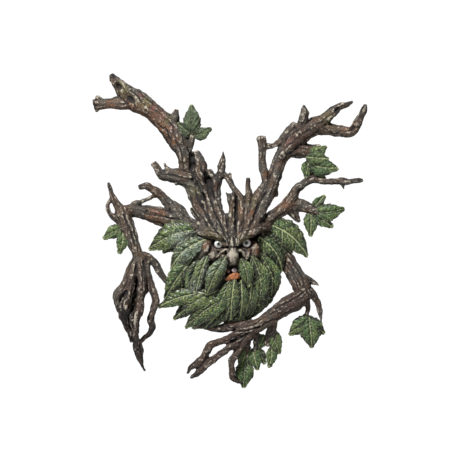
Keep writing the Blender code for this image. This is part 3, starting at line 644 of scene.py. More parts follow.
# %% One skin
def fuse(name, limbs, lumps, grain):
    """One skin over the limbs and lumps, on the room side of the wall."""
    clay = bmesh.new()
    for stations in limbs:
        add_limb(clay, stations)
    for middle, half in lumps:
        add_lump(clay, middle, half)
    for vert in clay.verts:
        vert.co.y = min(vert.co.y, 0)
    mesh = bpy.data.meshes.new(name)
    clay.to_mesh(mesh)
    clay.free()
    made = place(name, mesh)
    skin = made.modifiers.new("skin", "REMESH")
    skin.mode = "VOXEL"
    skin.voxel_size = grain * ROW
    rub = made.modifiers.new("rub", "SMOOTH")
    rub.factor = 0.6
    rub.iterations = 4
    graph = bpy.context.evaluated_depsgraph_get()
    fused = bpy.data.meshes.new_from_object(made.evaluated_get(graph))
    bpy.data.objects.remove(made)
    bpy.data.meshes.remove(mesh)
    fused.name = name
    points = read_points(fused)
    points[:, 1] = np.minimum(points[:, 1], 0)
    write_points(fused, points)
    print(name, "has", 2 * len(fused.polygons), "triangles")
    return fused


# %% The three skins
head_mesh = fuse(
    "head", [*CROWN.values(), *FACE_RIDGES.values()],
    [SKULL, FOREHEAD, *[LUMPS[name] for name in LUMPS if "palm" not in name]], BARK_GRAIN,
)
palms = {
    side: [LUMPS[name] for name in LUMPS if name.startswith("palm_" + side)] for side in ("left", "right")
}
left_arm_mesh = fuse("left_arm", LEFT_ARM.values(), palms["left"], ARM_GRAIN)
right_arm_mesh = fuse("right_arm", RIGHT_ARM.values(), palms["right"], ARM_GRAIN)

# %% [markdown]
# ## Carving the bark
#
# Each point of the skin belongs to the limb whose surface is nearest. Its place is then known as a
# distance along that limb and an angle around it, so the bark's ridges can run along the wood and twist
# with it. The ridges are cusps: broad backs with narrow grooves between them.

# %% Nearest limb
def limb_place(points, limbs):
    """For each point in rows: the limb's number, the run along it, the angle, the radius and the offset."""
    best = np.full(len(points), 1e9)
    found = {name: np.zeros(len(points)) for name in ("limb", "run", "angle", "radius", "u", "v")}
    for number, stations in enumerate(limbs):
        path = smooth_path(stations, 3)
        run = 0.0
        for start, stop in zip(path, path[1:]):
            heading = stop[:3] - start[:3]
            length = np.linalg.norm(heading)
            heading = heading / length
            offset = points - start[:3]
            share = np.clip(offset @ heading / length, 0, 1)
            radius = start[3] + (stop[3] - start[3]) * share
            offset = offset - np.outer(share * length, heading)
            gap = np.linalg.norm(offset, axis=1) - radius
            nearer = gap < best
            front = np.array([0, 0, 1.0]) - heading[2] * heading
            front /= np.linalg.norm(front)
            side = np.cross(front, heading)
            u = offset @ front
            v = offset @ side
            best[nearer] = gap[nearer]
            for name, values in (
                ("limb", np.full(len(points), number)), ("run", run + share * length),
                ("angle", np.arctan2(v, u)), ("radius", radius), ("u", u), ("v", v),
            ):
                found[name][nearer] = values[nearer]
            run += length
    return found, best


nearest = limb_place(np.array([[-180.0, -90, 60]]), list(LEFT_ARM.values()))[0]
print("the left palm lies nearest to", list(LEFT_ARM)[int(nearest["limb"][0])])


# %% Ridges, knots and recesses
HOLLOW_ROUNDS = 40
CREST_ROUNDS = 14


def smoothed(mesh, values, rounds):
    """The values averaged over each point's neighbours, that many times."""
    ends = np.empty(len(mesh.edges) * 2, int)
    mesh.edges.foreach_get("vertices", ends)
    ends = ends.reshape(-1, 2)
    count = np.bincount(ends.ravel(), minlength=len(mesh.vertices))
    for _ in range(rounds):
        total = np.zeros_like(values)
        for axis in range(values.shape[1]):
            total[:, axis] += np.bincount(ends[:, 0], values[ends[:, 1], axis], len(count))
            total[:, axis] += np.bincount(ends[:, 1], values[ends[:, 0], axis], len(count))
        values = 0.5 * values + 0.5 * total / count[:, None]
    return values


def bark_relief(place_on_limb):
    """Height of the ridges in shares of their depth: 0 on a back and -1 at the bottom of a groove."""
    limb, run, angle, radius = (place_on_limb[name] for name in ("limb", "run", "angle", "radius"))
    around = np.maximum(3, np.round(2 * np.pi * np.maximum(radius, 3) / RIDGE_SPACING))
    sway = smooth_noise(np.stack([run / 34, limb * 7.3, np.zeros_like(run)], axis=1), 3) * 1.6
    fray = smooth_noise(np.stack([np.cos(angle) * 2, np.sin(angle) * 2, run / 11], axis=1), 4)
    wave = np.abs(np.sin(0.5 * around * angle + sway + 0.55 * fray + run / 90))
    deep = 0.55 + 0.45 * smooth_noise(np.stack([angle * 1.3, run / 17, limb * 3.1], axis=1), 5)
    return -deep * (1 - step(0, 0.62, wave))


def crease_depth(rows, creases):
    """How deep the clefts cut, in rows, and how far each point lies in one."""
    depth, inside_cleft = np.zeros(len(rows)), np.zeros(len(rows))
    for path, width, deep in creases:
        for start, stop in zip(np.array(path, float), np.array(path[1:], float)):
            heading = stop - start
            share = np.clip((rows[:, :2] - start) @ heading / (heading @ heading), 0, 1)
            away = np.linalg.norm(rows[:, :2] - start - share[:, None] * heading, axis=1) / width
            cleft = np.exp(-(away**2))
            depth = np.maximum(depth, deep * cleft)
            inside_cleft = np.maximum(inside_cleft, cleft)
    return depth, inside_cleft


print("the deepest cleft of the head cuts", max(deep for _, _, deep in HEAD_CREASES), "rows into the skin")


# %% The carving of one skin
def carve_bark(mesh, limbs, knots, hollows, creases, bare=None):
    """Moves the skin by its bark, and stores the masks that its paint needs."""
    points, normals = read_points(mesh), read_points(mesh, "normal")
    rows = to_rows(points)
    found, gap = limb_place(rows, limbs)
    on_wood = 1 - step(3, 9, gap)
    if bare is not None:
        on_wood = on_wood * (1 - bare(rows))
    groove = bark_relief(found) * on_wood
    depth = np.minimum(RIDGE_DEPTH * found["radius"], MOST_RIDGE)
    lift = groove * depth
    gnarl = 1 if bare is None else 1 - 0.6 * bare(rows)
    lift += gnarl * (1.9 * smooth_noise(rows / 15, 7) + 1.1 * smooth_noise(rows / 7, 8))
    lift += 0.45 * smooth_noise(rows / 3.4, 9)
    facing = np.clip(-normals[:, 1] * 1.3, 0, 1)
    depth, cleft = crease_depth(rows, creases)
    ragged = 0.55 + 0.45 * smooth_noise(rows / 6, 11)
    lift -= depth * facing * ragged
    groove = np.minimum(groove, -1.2 * cleft * facing * ragged)
    for across, up, out, size in knots:
        away = np.linalg.norm(rows - (across, up, out), axis=1) / size
        lift += 0.34 * size * np.exp(-(away**2) * 1.6) - 0.3 * size * np.exp(-(away**2) * 9)
        groove = np.minimum(groove, -0.9 * np.exp(-(away**2) * 9))
    for across, up, size, deep in hollows:
        away = np.linalg.norm(rows[:, :2] - (across, up), axis=1) / size
        lift -= deep * np.exp(-(away**3)) * facing
        groove = np.minimum(groove, -1.1 * np.exp(-(away**4) * 1.4) * facing)
    lift *= 1 - step(-3, 0, -rows[:, 2])
    points = points + normals * (lift * ROW)[:, None]
    points[:, 1] = np.minimum(points[:, 1], 0)
    write_points(mesh, points)
    # The groove and recess masks steer the dark wash, which also paints in the shade of the grooves, clefts,
    # hollows and recesses.
    write_mask(mesh, "groove", np.clip(-0.85 * groove, 0, 1))
    write_mask(mesh, "grain", np.stack([found["u"], found["v"], found["run"] + 500 * found["limb"]], axis=1))
    hollow = np.einsum("ij,ij->i", smoothed(mesh, points, HOLLOW_ROUNDS) - points, normals) / ROW
    swell = np.einsum("ij,ij->i", smoothed(mesh, points, CREST_ROUNDS) - points, normals) / ROW
    write_mask(mesh, "recess", step(0.1, 2.0, hollow))
    # How far the skin faces the front; the sides that turn away from it are painted darker, as painted shade.
    outward = -read_points(mesh, "normal")[:, 1]
    write_mask(mesh, "front", step(0.25, 0.95, outward))
    write_mask(mesh, "behind", step(0.6, 0.95, -outward) * step(-8, -2, -rows[:, 2]))
    write_mask(mesh, "crest", step(0.0, 1.0, -swell))
    print(mesh.name, "moves by", round(float(lift.min()), 1), "to", round(float(lift.max()), 1), "rows")


def patch_mask(rows, patches):
    """Soft round patches of colour: (across, up, radius)."""
    mask = np.zeros(len(rows))
    for across, up, size in patches:
        away = np.linalg.norm(rows[:, :2] - (across, up), axis=1) / size
        mask = np.maximum(mask, np.exp(-(away**2) * 1.3))
    return mask


# %% [markdown]
# ## The face
#
# The face stays free of the long bark ridges. It has its own carving: sunken eye sockets under the
# brows, a mouth dug out behind the lip, and frown lines where the brows meet. A mask marks the skull
# under the leaves, which is painted near black as painted shade, as dark as the gaps between them.

# %% Face carving
MOUTH = ((9, -89), (20, 15))
FACE = ((6, -46), (52, 40))
HEAD_LIMBS = [*CROWN.values(), *FACE_RIDGES.values()]
# In rows: how far out the head's front begins, how far down leaves cover it, how far out the lids reach
FRONT_OF_HEAD = (26, 44)
UNDER_LEAVES = (60, 74)
LID_FRONT = 96


def inside(rows, middle, half, soft=0.3):
    """1 inside an oval on the front of the drawing, 0 outside it, and soft at its edge."""
    away = np.linalg.norm((rows[:, :2] - middle) / half, axis=1)
    return 1 - step(1 - soft, 1 + soft, away)


def bare_face(rows):
    """How far the face is kept free of bark ridges."""
    return inside(rows, *FACE, 0.15) * 0.75


def carve_face(mesh):
    """Sinks the two eye sockets and the mouth into the skin."""
    points, normals = read_points(mesh), read_points(mesh, "normal")
    rows = to_rows(points)
    facing = np.clip(-normals[:, 1] * 1.5, 0, 1)
    sunk = np.zeros(len(rows))
    for across, up, _ in EYES.values():
        sunk += 6 * inside(rows, (across, up), (13, 8), 0.5)
    sunk += 15 * inside(rows, *MOUTH, 0.35)
    points[:, 1] += sunk * facing * ROW
    write_points(mesh, points)
    print("the mouth and the sockets sink by up to", round(float((sunk * facing).max()), 1), "rows")


carve_face(head_mesh)

# %% Carving the three skins
carve_bark(head_mesh, HEAD_LIMBS, HEAD_KNOTS, HEAD_HOLLOWS, HEAD_CREASES, bare_face)
carve_bark(left_arm_mesh, list(LEFT_ARM.values()), LEFT_ARM_KNOTS, [], LEFT_ARM_CREASES)
carve_bark(right_arm_mesh, list(RIGHT_ARM.values()), RIGHT_ARM_KNOTS, [], RIGHT_ARM_CREASES)
for mesh in (head_mesh, left_arm_mesh, right_arm_mesh):
    rows = to_rows(read_points(mesh))
    for mask, patches in BARK_PATCHES.items():
        write_mask(mesh, mask, patch_mask(rows, patches))
    under, dark_red = 0 * rows[:, 0], 0 * rows[:, 0]
    if mesh == head_mesh:
        fore = step(*FRONT_OF_HEAD, rows[:, 2])
        dark_red = inside(rows, *MOUTH, 0.2) * fore
        # Painted shade: the skull under the leaves is painted near black, as dark as the gaps between them.
        under = step(*UNDER_LEAVES, -rows[:, 1]) * (1 - dark_red) * fore
        for middle, half in EYE_RIMS:
            rim = fore * inside(rows, middle, half, 0.25) * step(0, 4, LID_FRONT - rows[:, 2])
            dark_red = np.maximum(dark_red, rim)
    write_mask(mesh, "under_leaves_shade", under)
    write_mask(mesh, "mouth", dark_red)
print("the bark covers", sum(len(m.vertices) for m in (head_mesh, left_arm_mesh, right_arm_mesh)), "points")

# %% [markdown]
# ## Leaves
#
# A leaf is a sheet of points, by its share of the length and its side. Each half is puffed like a
# pillow between the midrib and the edge, the side veins run out towards the edge, and a trench beside
# each of them holds the dark wash. The foot of each leaf, where others cover it, gets painted shade.
# The sheet gets its thickness from a Solidify modifier, and the masks stay on its points.

# %% The outline of a leaf
LEAF_STEPS = 52
HALF_STEPS = 11


def half_width(share, teeth):
    """Half of a leaf's width, as a share of its full width, with its edge cut into saw teeth."""
    early = LEAF_FOOT_SHARE + (1 - LEAF_FOOT_SHARE) * np.sin(np.pi / 2 * np.minimum(share / LEAF_WIDEST, 1))
    late = np.cos(np.pi / 2 * np.clip((share - LEAF_WIDEST) / (1 - LEAF_WIDEST), 0, 1)) ** 0.8
    saw = np.mod(share * teeth, 1) ** 1.3
    tooth = 1 + TOOTH_DEPTH * (saw - 0.5) * step(0.02, 0.15, share)
    return 0.5 * np.where(share < LEAF_WIDEST, early, late) * tooth + 0.008


print("half way along, a leaf is", round(2 * float(half_width(0.5, 5)), 2), "of its full width")


# %% The points of one leaf
def add_leaf(sheet, layers, foot, tip, width, roll, teeth, bend, tone):
    """Adds one leaf's points and faces to the sheet, and the masks of its points to the layers."""
    foot_spot, tip_spot = spot(*foot), spot(*tip)
    length = (tip_spot - foot_spot).length / ROW
    along = (tip_spot - foot_spot).normalized()
    front = Vector((0, -1, 0))
    front = (front - front.dot(along) * along).normalized()
    front = Matrix.Rotation(math.radians(roll), 3, along) @ front
    side = along.cross(front)
    share = np.linspace(0, 1, LEAF_STEPS + 1)[:, None]
    cross = np.linspace(-1, 1, 2 * HALF_STEPS + 1)[None, :]
    teeth = 2 * teeth - 1
    reach = half_width(share, teeth) * width * cross
    ribs = max(3, round(length / RIB_SPACING))
    wander = 0.2 * np.sin(9 * share + 40 * tone) + 0.15 * np.sin(23 * share - 5 * cross + 17 * tone)
    vein = np.mod(share * ribs - 1.5 * np.abs(cross) + 1.5 + wander, 1)
    from_vein = np.minimum(vein, 1 - vein)
    side_vein = np.exp(-((from_vein / 0.065) ** 2)) * (1 - np.abs(cross) ** 4)
    trench = np.exp(-((from_vein / 0.22) ** 2)) * (1 - np.abs(cross) ** 4) - side_vein
    midrib = np.exp(-((cross * half_width(share, teeth) * width / 1.1) ** 2))
    beside = np.exp(-((cross * half_width(share, teeth) * width / 3.2) ** 2)) - midrib
    pillow = np.sin(np.pi * np.abs(cross) ** 0.75) * np.sin(np.pi * np.minimum(share * 1.15, 1)) ** 0.5
    puff = 0.075 * width * pillow * (0.5 + 0.5 * np.sin(np.pi * vein))
    rise = LEAF_ARCH * length * 4 * share * (1 - share)
    drop = LEAF_FOLD * np.abs(reach) * np.abs(cross)
    wave = 0.03 * width * np.sin(6.3 * (share * 1.7 + tone)) * cross * np.abs(cross)
    height = rise - drop + puff - 1.9 * beside - 1.7 * trench + wave
    swing = bend * length * np.sin(np.pi * share)
    place_side = (reach + swing) * ROW
    place_front = height * ROW
    points = (
        np.array(foot_spot) + np.array(along) * (share * length * ROW + 0 * cross)[..., None]
        + np.array(side) * place_side[..., None] + np.array(front) * place_front[..., None]
    )
    start = len(sheet["points"])
    sheet["points"].extend(points.reshape(-1, 3))
    columns = 2 * HALF_STEPS + 1
    for row in range(LEAF_STEPS):
        for column in range(columns - 1):
            corner = start + row * columns + column
            sheet["faces"].append((corner, corner + 1, corner + columns + 1, corner + columns))
    # The trenches hold the dark wash, and the foot of each leaf, where others cover it, gets painted shade.
    sunk = np.maximum(np.maximum(beside, 1.05 * trench), 1 - step(0.03, 0.2, share + 0 * cross))
    bright_rib = midrib * (0.5 + 0.5 * (tone > 0.4)) + 0 * share
    layers["vein"].extend(np.maximum(bright_rib, 0.75 * side_vein).ravel())
    layers["gully"].extend((sunk + 0 * cross).ravel())
    layers["puff"].extend((pillow * np.sin(np.pi * vein) ** 0.7).ravel())
    layers["rim"].extend((np.abs(cross) ** 5 + 0 * share).ravel())
    layers["tone"].extend(np.full(points[..., 0].size, tone))
    on_leaf = np.stack([share * length + 0 * cross, reach, np.full_like(reach, 300 * tone)], -1)
    layers["leaf_place"].extend(on_leaf.reshape(-1, 3))


# %% All the leaves of one piece
def painted_overlap_shade(rows, cell=2, reach=4):
    """Painted shade: how deep each point lies among what stands round it, from 0 to 1, where the leaves above
    shade it.
    """
    here = np.floor((rows[:, :2] - rows[:, :2].min(axis=0)) / cell).astype(int) + reach
    height = np.zeros(here.max(axis=0) + reach + 1)
    np.maximum.at(height, tuple(here.T), rows[:, 2])
    total = np.zeros(len(rows))
    for over, up in product(range(-reach, reach + 1), repeat=2):
        total += np.clip(height[here[:, 0] + over, here[:, 1] + up] - rows[:, 2], 0, 12)
    return step(0.1, 1.5, total / (2 * reach + 1) ** 2)


def leaf_piece(name, forms, material):
    """All the leaves of one piece, crinkled and given their thickness."""
    sheet = {"points": [], "faces": []}
    layers = {key: [] for key in ("vein", "gully", "puff", "rim", "tone", "leaf_place")}
    for number, form in enumerate(forms.values()):
        add_leaf(sheet, layers, *form, (number * 0.618) % 1)
    mesh = bpy.data.meshes.new(name)
    mesh.from_pydata(sheet["points"], [], sheet["faces"])
    for key, values in layers.items():
        write_mask(mesh, key, np.array(values))
    points = read_points(mesh)
    rows = to_rows(points)
    write_mask(mesh, "painted_sheen", patch_mask(rows, PAINTED_SHEEN_PATCHES))
    write_mask(mesh, "overlap_shade", painted_overlap_shade(rows))
    crinkle = 0.7 * smooth_noise(rows / 4.5, 21) + 0.35 * smooth_noise(rows / 2.2, 22)
    points[:, 1] -= crinkle * ROW
    write_points(mesh, points)
    made = place(name, mesh, material)
    thicken = made.modifiers.new("thickness", "SOLIDIFY")
    thicken.thickness = LEAF_THICKNESS * ROW
    thicken.offset = -1
    mesh.shade_smooth()
    print(name, "has", len(forms), "leaves")
    return made


# %% [markdown]
# ## Paint
#
# The paint is built from small shader groups that can be used again. One makes fibres that run along
# the wood, one makes the mottled flecks of many thin coats, one brushes a pale colour over what stands
# up, and one floods what lies deep with a dark wash, which also stands in as painted shade. The
# materials only choose colours and amounts.

# %% A short way to write shader groups
class Wiring:
    """Adds nodes to one tree, and links whatever value is given to each of their inputs."""

    def __init__(self, tree):
        self.tree = tree

    def node(self, kind, inputs=None, **settings):
        made = self.tree.nodes.new(kind)
        for key, value in settings.items():
            setattr(made, key, value)
        for key, value in (inputs or {}).items():
            self.feed(made.inputs[key], value)
        return made

    def feed(self, socket, value):
        if isinstance(value, bpy.types.NodeSocket):
            self.tree.links.new(value, socket)
        else:
            socket.default_value = value

    def math(self, operation, first, second=0.0, clamp=False):
        made = self.node("ShaderNodeMath", {0: first, 1: second}, operation=operation, use_clamp=clamp)
        return made.outputs[0]

    def times(self, first, second, clamp=False):
        return self.math("MULTIPLY", first, second, clamp)

    def plus(self, first, second, clamp=False):
        return self.math("ADD", first, second, clamp)

    def minus(self, first, second, clamp=False):
        return self.math("SUBTRACT", first, second, clamp)

    def mix(self, factor, first, second):
        made = self.node("ShaderNodeMix", data_type="RGBA", blend_type="MIX", clamp_factor=True)
        self.feed(made.inputs["Factor"], factor)
        self.feed(made.inputs[6], first)
        self.feed(made.inputs[7], second)
        return made.outputs[2]

    def noise(self, vector, scale, detail=4.0, roughness=0.6):
        inputs = {"Vector": vector, "Scale": scale, "Detail": detail, "Roughness": roughness}
        return self.node("ShaderNodeTexNoise", inputs).outputs["Fac"]

    def stretch(self, value, low, high):
        """A smooth rise from 0 at low to 1 at high."""
        inputs = {"Value": value, "From Min": low, "From Max": high}
        return self.node("ShaderNodeMapRange", inputs, interpolation_type="SMOOTHSTEP").outputs["Result"]

    def mask(self, name, kind="Fac"):
        return self.node("ShaderNodeAttribute", attribute_name=name).outputs[kind]

    def group(self, tree, inputs):
        made = self.tree.nodes.new("ShaderNodeGroup")
        made.node_tree = tree
        for key, value in inputs.items():
            self.feed(made.inputs[key], value)
        return made


def new_group(name, inputs, outputs):
    """An empty shader group with its named sockets, its wiring, and its two ends."""
    tree = bpy.data.node_groups.new(name, "ShaderNodeTree")
    for key, (kind, value) in inputs.items():
        socket = tree.interface.new_socket(key, in_out="INPUT", socket_type=kind)
        if value is not None:
            socket.default_value = value
    for key, kind in outputs.items():
        tree.interface.new_socket(key, in_out="OUTPUT", socket_type=kind)
    wiring = Wiring(tree)
    return tree, wiring, wiring.node("NodeGroupInput"), wiring.node("NodeGroupOutput")


NUMBER, COLOUR, VECTOR = "NodeSocketFloat", "NodeSocketColor", "NodeSocketVector"
print("the groups' sockets:", NUMBER, COLOUR, VECTOR)

# %% Bark fibres
DARK_BREAK, PALE_BREAK, BRUSH_BREAK = (0.44, 0.51), (0.51, 0.59), (0.57, 0.65)
FLOOD_EDGE = (0.08, 0.75)


def make_fibres():
    """Fine fibres along the third coordinate of the vector."""
    tree, wiring, start, end = new_group(
        "Bark fibres", {"Grain": (VECTOR, None), "Fineness": (NUMBER, 0.42), "Length": (NUMBER, 3.5)},
        {"Height": NUMBER, "Cracks": NUMBER},
    )
    parts = wiring.node("ShaderNodeSeparateXYZ", {0: start.outputs["Grain"]})
    run = wiring.math("DIVIDE", parts.outputs[2], start.outputs["Length"])
    flow = wiring.node("ShaderNodeCombineXYZ", {0: parts.outputs[0], 1: parts.outputs[1], 2: run}).outputs[0]
    fine = wiring.noise(flow, start.outputs["Fineness"], 6.0, 0.72)
    coarse = wiring.noise(flow, wiring.times(start.outputs["Fineness"], 0.32), 3.0, 0.6)
    height = wiring.plus(wiring.times(fine, 0.6), wiring.times(coarse, 0.4))
    wiring.feed(end.inputs["Height"], height)
    wiring.feed(end.inputs["Cracks"], wiring.minus(1.0, wiring.stretch(height, 0.38, 0.52)))
    return tree


FIBRES = make_fibres()
print(FIBRES.name, "has", len(FIBRES.nodes), "nodes")


# %% Mottled coats
def make_mottle():
    """Grains of a dark and a pale colour over a base, as sponged coats of paint leave them."""
    tree, wiring, start, end = new_group(
        "Mottled coats",
        {"Vector": (VECTOR, None), "Size": (NUMBER, 0.25), "Base": (COLOUR, None),
         "Dark grain": (COLOUR, None), "Pale grain": (COLOUR, None),
         "Dark share": (NUMBER, 0.5), "Pale share": (NUMBER, 0.5)},
        {"Color": COLOUR, "Height": NUMBER},
    )
    vector, size = start.outputs["Vector"], start.outputs["Size"]
    coarse = wiring.noise(vector, size, 5.0, 0.75)
    fine = wiring.noise(vector, wiring.times(size, 2.9), 4.0, 0.75)
    height = wiring.plus(wiring.times(coarse, 0.6), wiring.times(fine, 0.4))
    dark = wiring.minus(1.0, wiring.stretch(height, *DARK_BREAK))
    dark = wiring.times(dark, start.outputs["Dark share"])
    pale = wiring.times(wiring.stretch(height, *PALE_BREAK), start.outputs["Pale share"])
    one = wiring.mix(dark, start.outputs["Base"], start.outputs["Dark grain"])
    two = wiring.mix(pale, one, start.outputs["Pale grain"])
    wiring.feed(end.inputs["Color"], two)
    wiring.feed(end.inputs["Height"], height)
    return tree


MOTTLE = make_mottle()
print(MOTTLE.name, "has", len(MOTTLE.nodes), "nodes")


# %% Dry brush
def make_dry_brush():
    """A pale colour dragged over what stands up, broken by the texture under it."""
    tree, wiring, start, end = new_group(
        "Dry brush",
        {"Color": (COLOUR, None), "Brush color": (COLOUR, None), "Raised": (NUMBER, 0.5),
         "Texture": (NUMBER, 0.5), "Grip": (NUMBER, 0.2), "Amount": (NUMBER, 0.7)},
        {"Color": COLOUR, "Mask": NUMBER},
    )
    reach = wiring.times(start.outputs["Raised"], start.outputs["Grip"])
    reach = wiring.plus(reach, start.outputs["Texture"])
    mask = wiring.times(wiring.stretch(reach, *BRUSH_BREAK), start.outputs["Amount"], clamp=True)
    wiring.feed(end.inputs["Color"], wiring.mix(mask, start.outputs["Color"], start.outputs["Brush color"]))
    wiring.feed(end.inputs["Mask"], mask)
    return tree


DRY_BRUSH = make_dry_brush()
print(DRY_BRUSH.name, "has", len(DRY_BRUSH.nodes), "nodes")


# %% Dark wash and painted shade
def make_wash_and_shade():
    """A dark wash that floods the deep places and thins out at their edges, and paints in their shade."""
    tree, wiring, start, end = new_group(
        "Dark wash and painted shade",
        {"Color": (COLOUR, None), "Wash and shade color": (COLOUR, None), "Depth": (NUMBER, 0.0),
         "Strength": (NUMBER, 0.95)},
        {"Color": COLOUR},
    )
    flood = wiring.times(wiring.stretch(start.outputs["Depth"], *FLOOD_EDGE), start.outputs["Strength"])
    wiring.feed(end.inputs["Color"], wiring.mix(flood, start.outputs["Color"], start.outputs["Wash and shade color"]))
    return tree


WASH_AND_SHADE = make_wash_and_shade()
print(WASH_AND_SHADE.name, "has", len(WASH_AND_SHADE.nodes), "nodes")

# %% [markdown]
# ## Bark and leaf paint
#
# The bark is a mottled grey brown. Patches of rust, moss, rose and red brown follow masks that were
# stored on the skin. The leaves are a deep green with paler veins under a thin varnish, and the small
# sprig on the left antler is a matt sage. Both bark and leaves get a dark wash and then a dry brush,
# in that order, as the painters of such castings work; the dark wash also paints in the shade of the
# hollows, the turned sides and the gaps.

# %% A new material
VARNISH = 0.35
VARNISH_ROUGHNESS = 0.22
PAINT_DEPTH = 3.4
BARK_STAINS_AND_SHADE = {
    "rust": RUST, "moss": MOSS, "rose": ROSE, "ruddy": RED_BROWN, "under_leaves_shade": SHADE_UNDER_LEAVES, "mouth": MAROON,
}
BROKEN_STAINS = ("rust", "moss", "rose")


def new_material(name):
    made = bpy.data.materials.new(name)
    made.use_nodes = True
    return made, Wiring(made.node_tree), made.node_tree.nodes["Principled BSDF"]


def bump(wiring, shader, height, distance, strength=1.0):
    inputs = {"Height": height, "Distance": distance * ROW, "Strength": strength}
    wiring.feed(shader.inputs["Normal"], wiring.node("ShaderNodeBump", inputs).outputs["Normal"])


def in_rows(wiring):
    """The place on the object, in rows of the drawing."""
    place_now = wiring.node("ShaderNodeTexCoord").outputs["Object"]
    return wiring.node("ShaderNodeVectorMath", {0: place_now, "Scale": 1 / ROW}, operation="SCALE").outputs[0]


print("the bark's stains and their masks:", ", ".join(BARK_STAINS_AND_SHADE))


# %% Bark paint
def paint_bark():
    made, wiring, shader = new_material("painted bark")
    grain, spots = wiring.mask("grain", "Vector"), in_rows(wiring)
    fibres = wiring.group(FIBRES, {"Grain": grain})
    drift, broken = wiring.noise(spots, 0.03, 3.0, 0.5), wiring.noise(spots, 0.16, 5.0, 0.7)
    base = wiring.mix(wiring.stretch(drift, 0.42, 0.58), GREY_BROWN, WARM_BROWN)
    for mask, paint in BARK_STAINS_AND_SHADE.items():
        share = wiring.mask(mask)
        if mask in BROKEN_STAINS:
            share = wiring.times(share, wiring.stretch(broken, 0.4, 0.56))
        base = wiring.mix(share, base, paint)
    hidden = wiring.math("MAXIMUM", wiring.mask("under_leaves_shade"), wiring.mask("mouth"))
    shown = wiring.minus(1.0, hidden, clamp=True)
    pale = wiring.mix(wiring.stretch(broken, 0.42, 0.58), ASH, PINK_GREY)
    pale = wiring.mix(0.35, pale, base)
    inputs = {"Vector": spots, "Size": 0.52, "Base": base, "Dark grain": DEEP_BROWN, "Pale grain": pale}
    coats = wiring.group(MOTTLE, {**inputs, "Dark share": 1.0, "Pale share": wiring.times(shown, 0.85)})
    # Painted shade: grooves and recesses are washed dark, along with the real wash in the cracks and on the
    # burnt tips.
    deep = wiring.math("MAXIMUM", wiring.mask("groove"), wiring.mask("recess"))
    deep = wiring.plus(deep, wiring.times(fibres.outputs["Cracks"], 0.38))
    deep = wiring.plus(deep, wiring.times(wiring.mask("burnt"), 0.5))
    # Painted shade: the sides turned away from the front are washed darker.
    turned_away_shade = wiring.minus(1.0, wiring.mask("front"))
    deep = wiring.plus(deep, wiring.times(turned_away_shade, 0.34))
    deep = wiring.minus(deep, wiring.times(wiring.mask("pale"), 0.12), clamp=True)
    inputs = {"Color": coats.outputs["Color"], "Wash and shade color": SOOT, "Depth": deep, "Strength": 0.96}
    washed_and_shaded = wiring.group(WASH_AND_SHADE, inputs).outputs["Color"]
    texture = wiring.times(fibres.outputs["Height"], 0.14)
    texture = wiring.plus(texture, wiring.times(coats.outputs["Height"], 0.86))
    raised = wiring.plus(wiring.minus(wiring.mask("crest"), deep), wiring.times(wiring.mask("pale"), 0.8))
    inputs = {"Color": washed_and_shaded, "Brush color": BEIGE, "Raised": raised, "Texture": texture, "Grip": 0.17}
    brushed = wiring.group(DRY_BRUSH, {**inputs, "Amount": wiring.times(shown, 0.95)})
    plain = wiring.mix(wiring.stretch(broken, 0.35, 0.65), BACK_COAT, GREY_BROWN)
    colour = wiring.mix(wiring.mask("behind"), brushed.outputs["Color"], plain)
    wiring.feed(shader.inputs["Base Color"], colour)
    wiring.feed(shader.inputs["Roughness"], wiring.minus(0.66, wiring.times(brushed.outputs["Mask"], 0.2)))
    bump(wiring, shader, texture, PAINT_DEPTH)
    return made


BARK_PAINT = paint_bark()
print(BARK_PAINT.name, "has", len(BARK_PAINT.node_tree.nodes), "nodes")


# %% Leaf paint
def paint_leaf(name, blade, fresh, pale, contrast):
    made, wiring, shader = new_material(name)
    on_leaf = wiring.mask("leaf_place", "Vector")
    drift = wiring.noise(on_leaf, 0.05, 3.0, 0.5)
    base = wiring.mix(wiring.stretch(drift, 0.42, 0.6), blade, fresh)
    base = wiring.mix(wiring.times(wiring.mask("tone"), 0.35), base, DEEP_GREEN)
    inputs = {"Vector": on_leaf, "Size": 0.34, "Base": base, "Dark grain": DEEP_GREEN, "Pale grain": pale}
    pale_share = wiring.times(wiring.mask("puff"), 0.7 * contrast)
    coats = wiring.group(MOTTLE, {**inputs, "Dark share": 0.7 * contrast, "Pale share": pale_share})
    low = wiring.times(wiring.mask("gully"), contrast)
    # Painted shade: the wash darkens each leaf where the leaves above it shade it.
    low = wiring.math("MAXIMUM", low, wiring.mask("overlap_shade"))
    inputs = {"Color": coats.outputs["Color"], "Wash and shade color": NIGHT_GREEN, "Depth": low, "Strength": 0.94}
    washed_and_shaded = wiring.group(WASH_AND_SHADE, inputs).outputs["Color"]
    raised = wiring.plus(wiring.mask("vein"), wiring.times(wiring.mask("rim"), 0.3))
    inputs = {"Color": washed_and_shaded, "Brush color": LIME, "Raised": raised, "Texture": coats.outputs["Height"]}
    colour = wiring.group(DRY_BRUSH, {**inputs, "Grip": 0.3, "Amount": 0.7 * contrast}).outputs["Color"]
    # Painted sheen: a pale grey green over the left cheek's leaves, where their gloss catches the light.
    sheen = wiring.times(wiring.mask("painted_sheen"), wiring.stretch(coats.outputs["Height"], 0.46, 0.56))
    colour = wiring.mix(wiring.times(sheen, 0.75), colour, PAINTED_SHEEN_GREEN)
    wiring.feed(shader.inputs["Base Color"], colour)
    rough = wiring.minus(0.5 - 0.18 * contrast, wiring.times(wiring.mask("painted_sheen"), 0.1))
    wiring.feed(shader.inputs["Roughness"], rough)
    shader.inputs["Coat Weight"].default_value = VARNISH * contrast**2
    shader.inputs["Coat Roughness"].default_value = VARNISH_ROUGHNESS
    bump(wiring, shader, coats.outputs["Height"], PAINT_DEPTH)
    return made


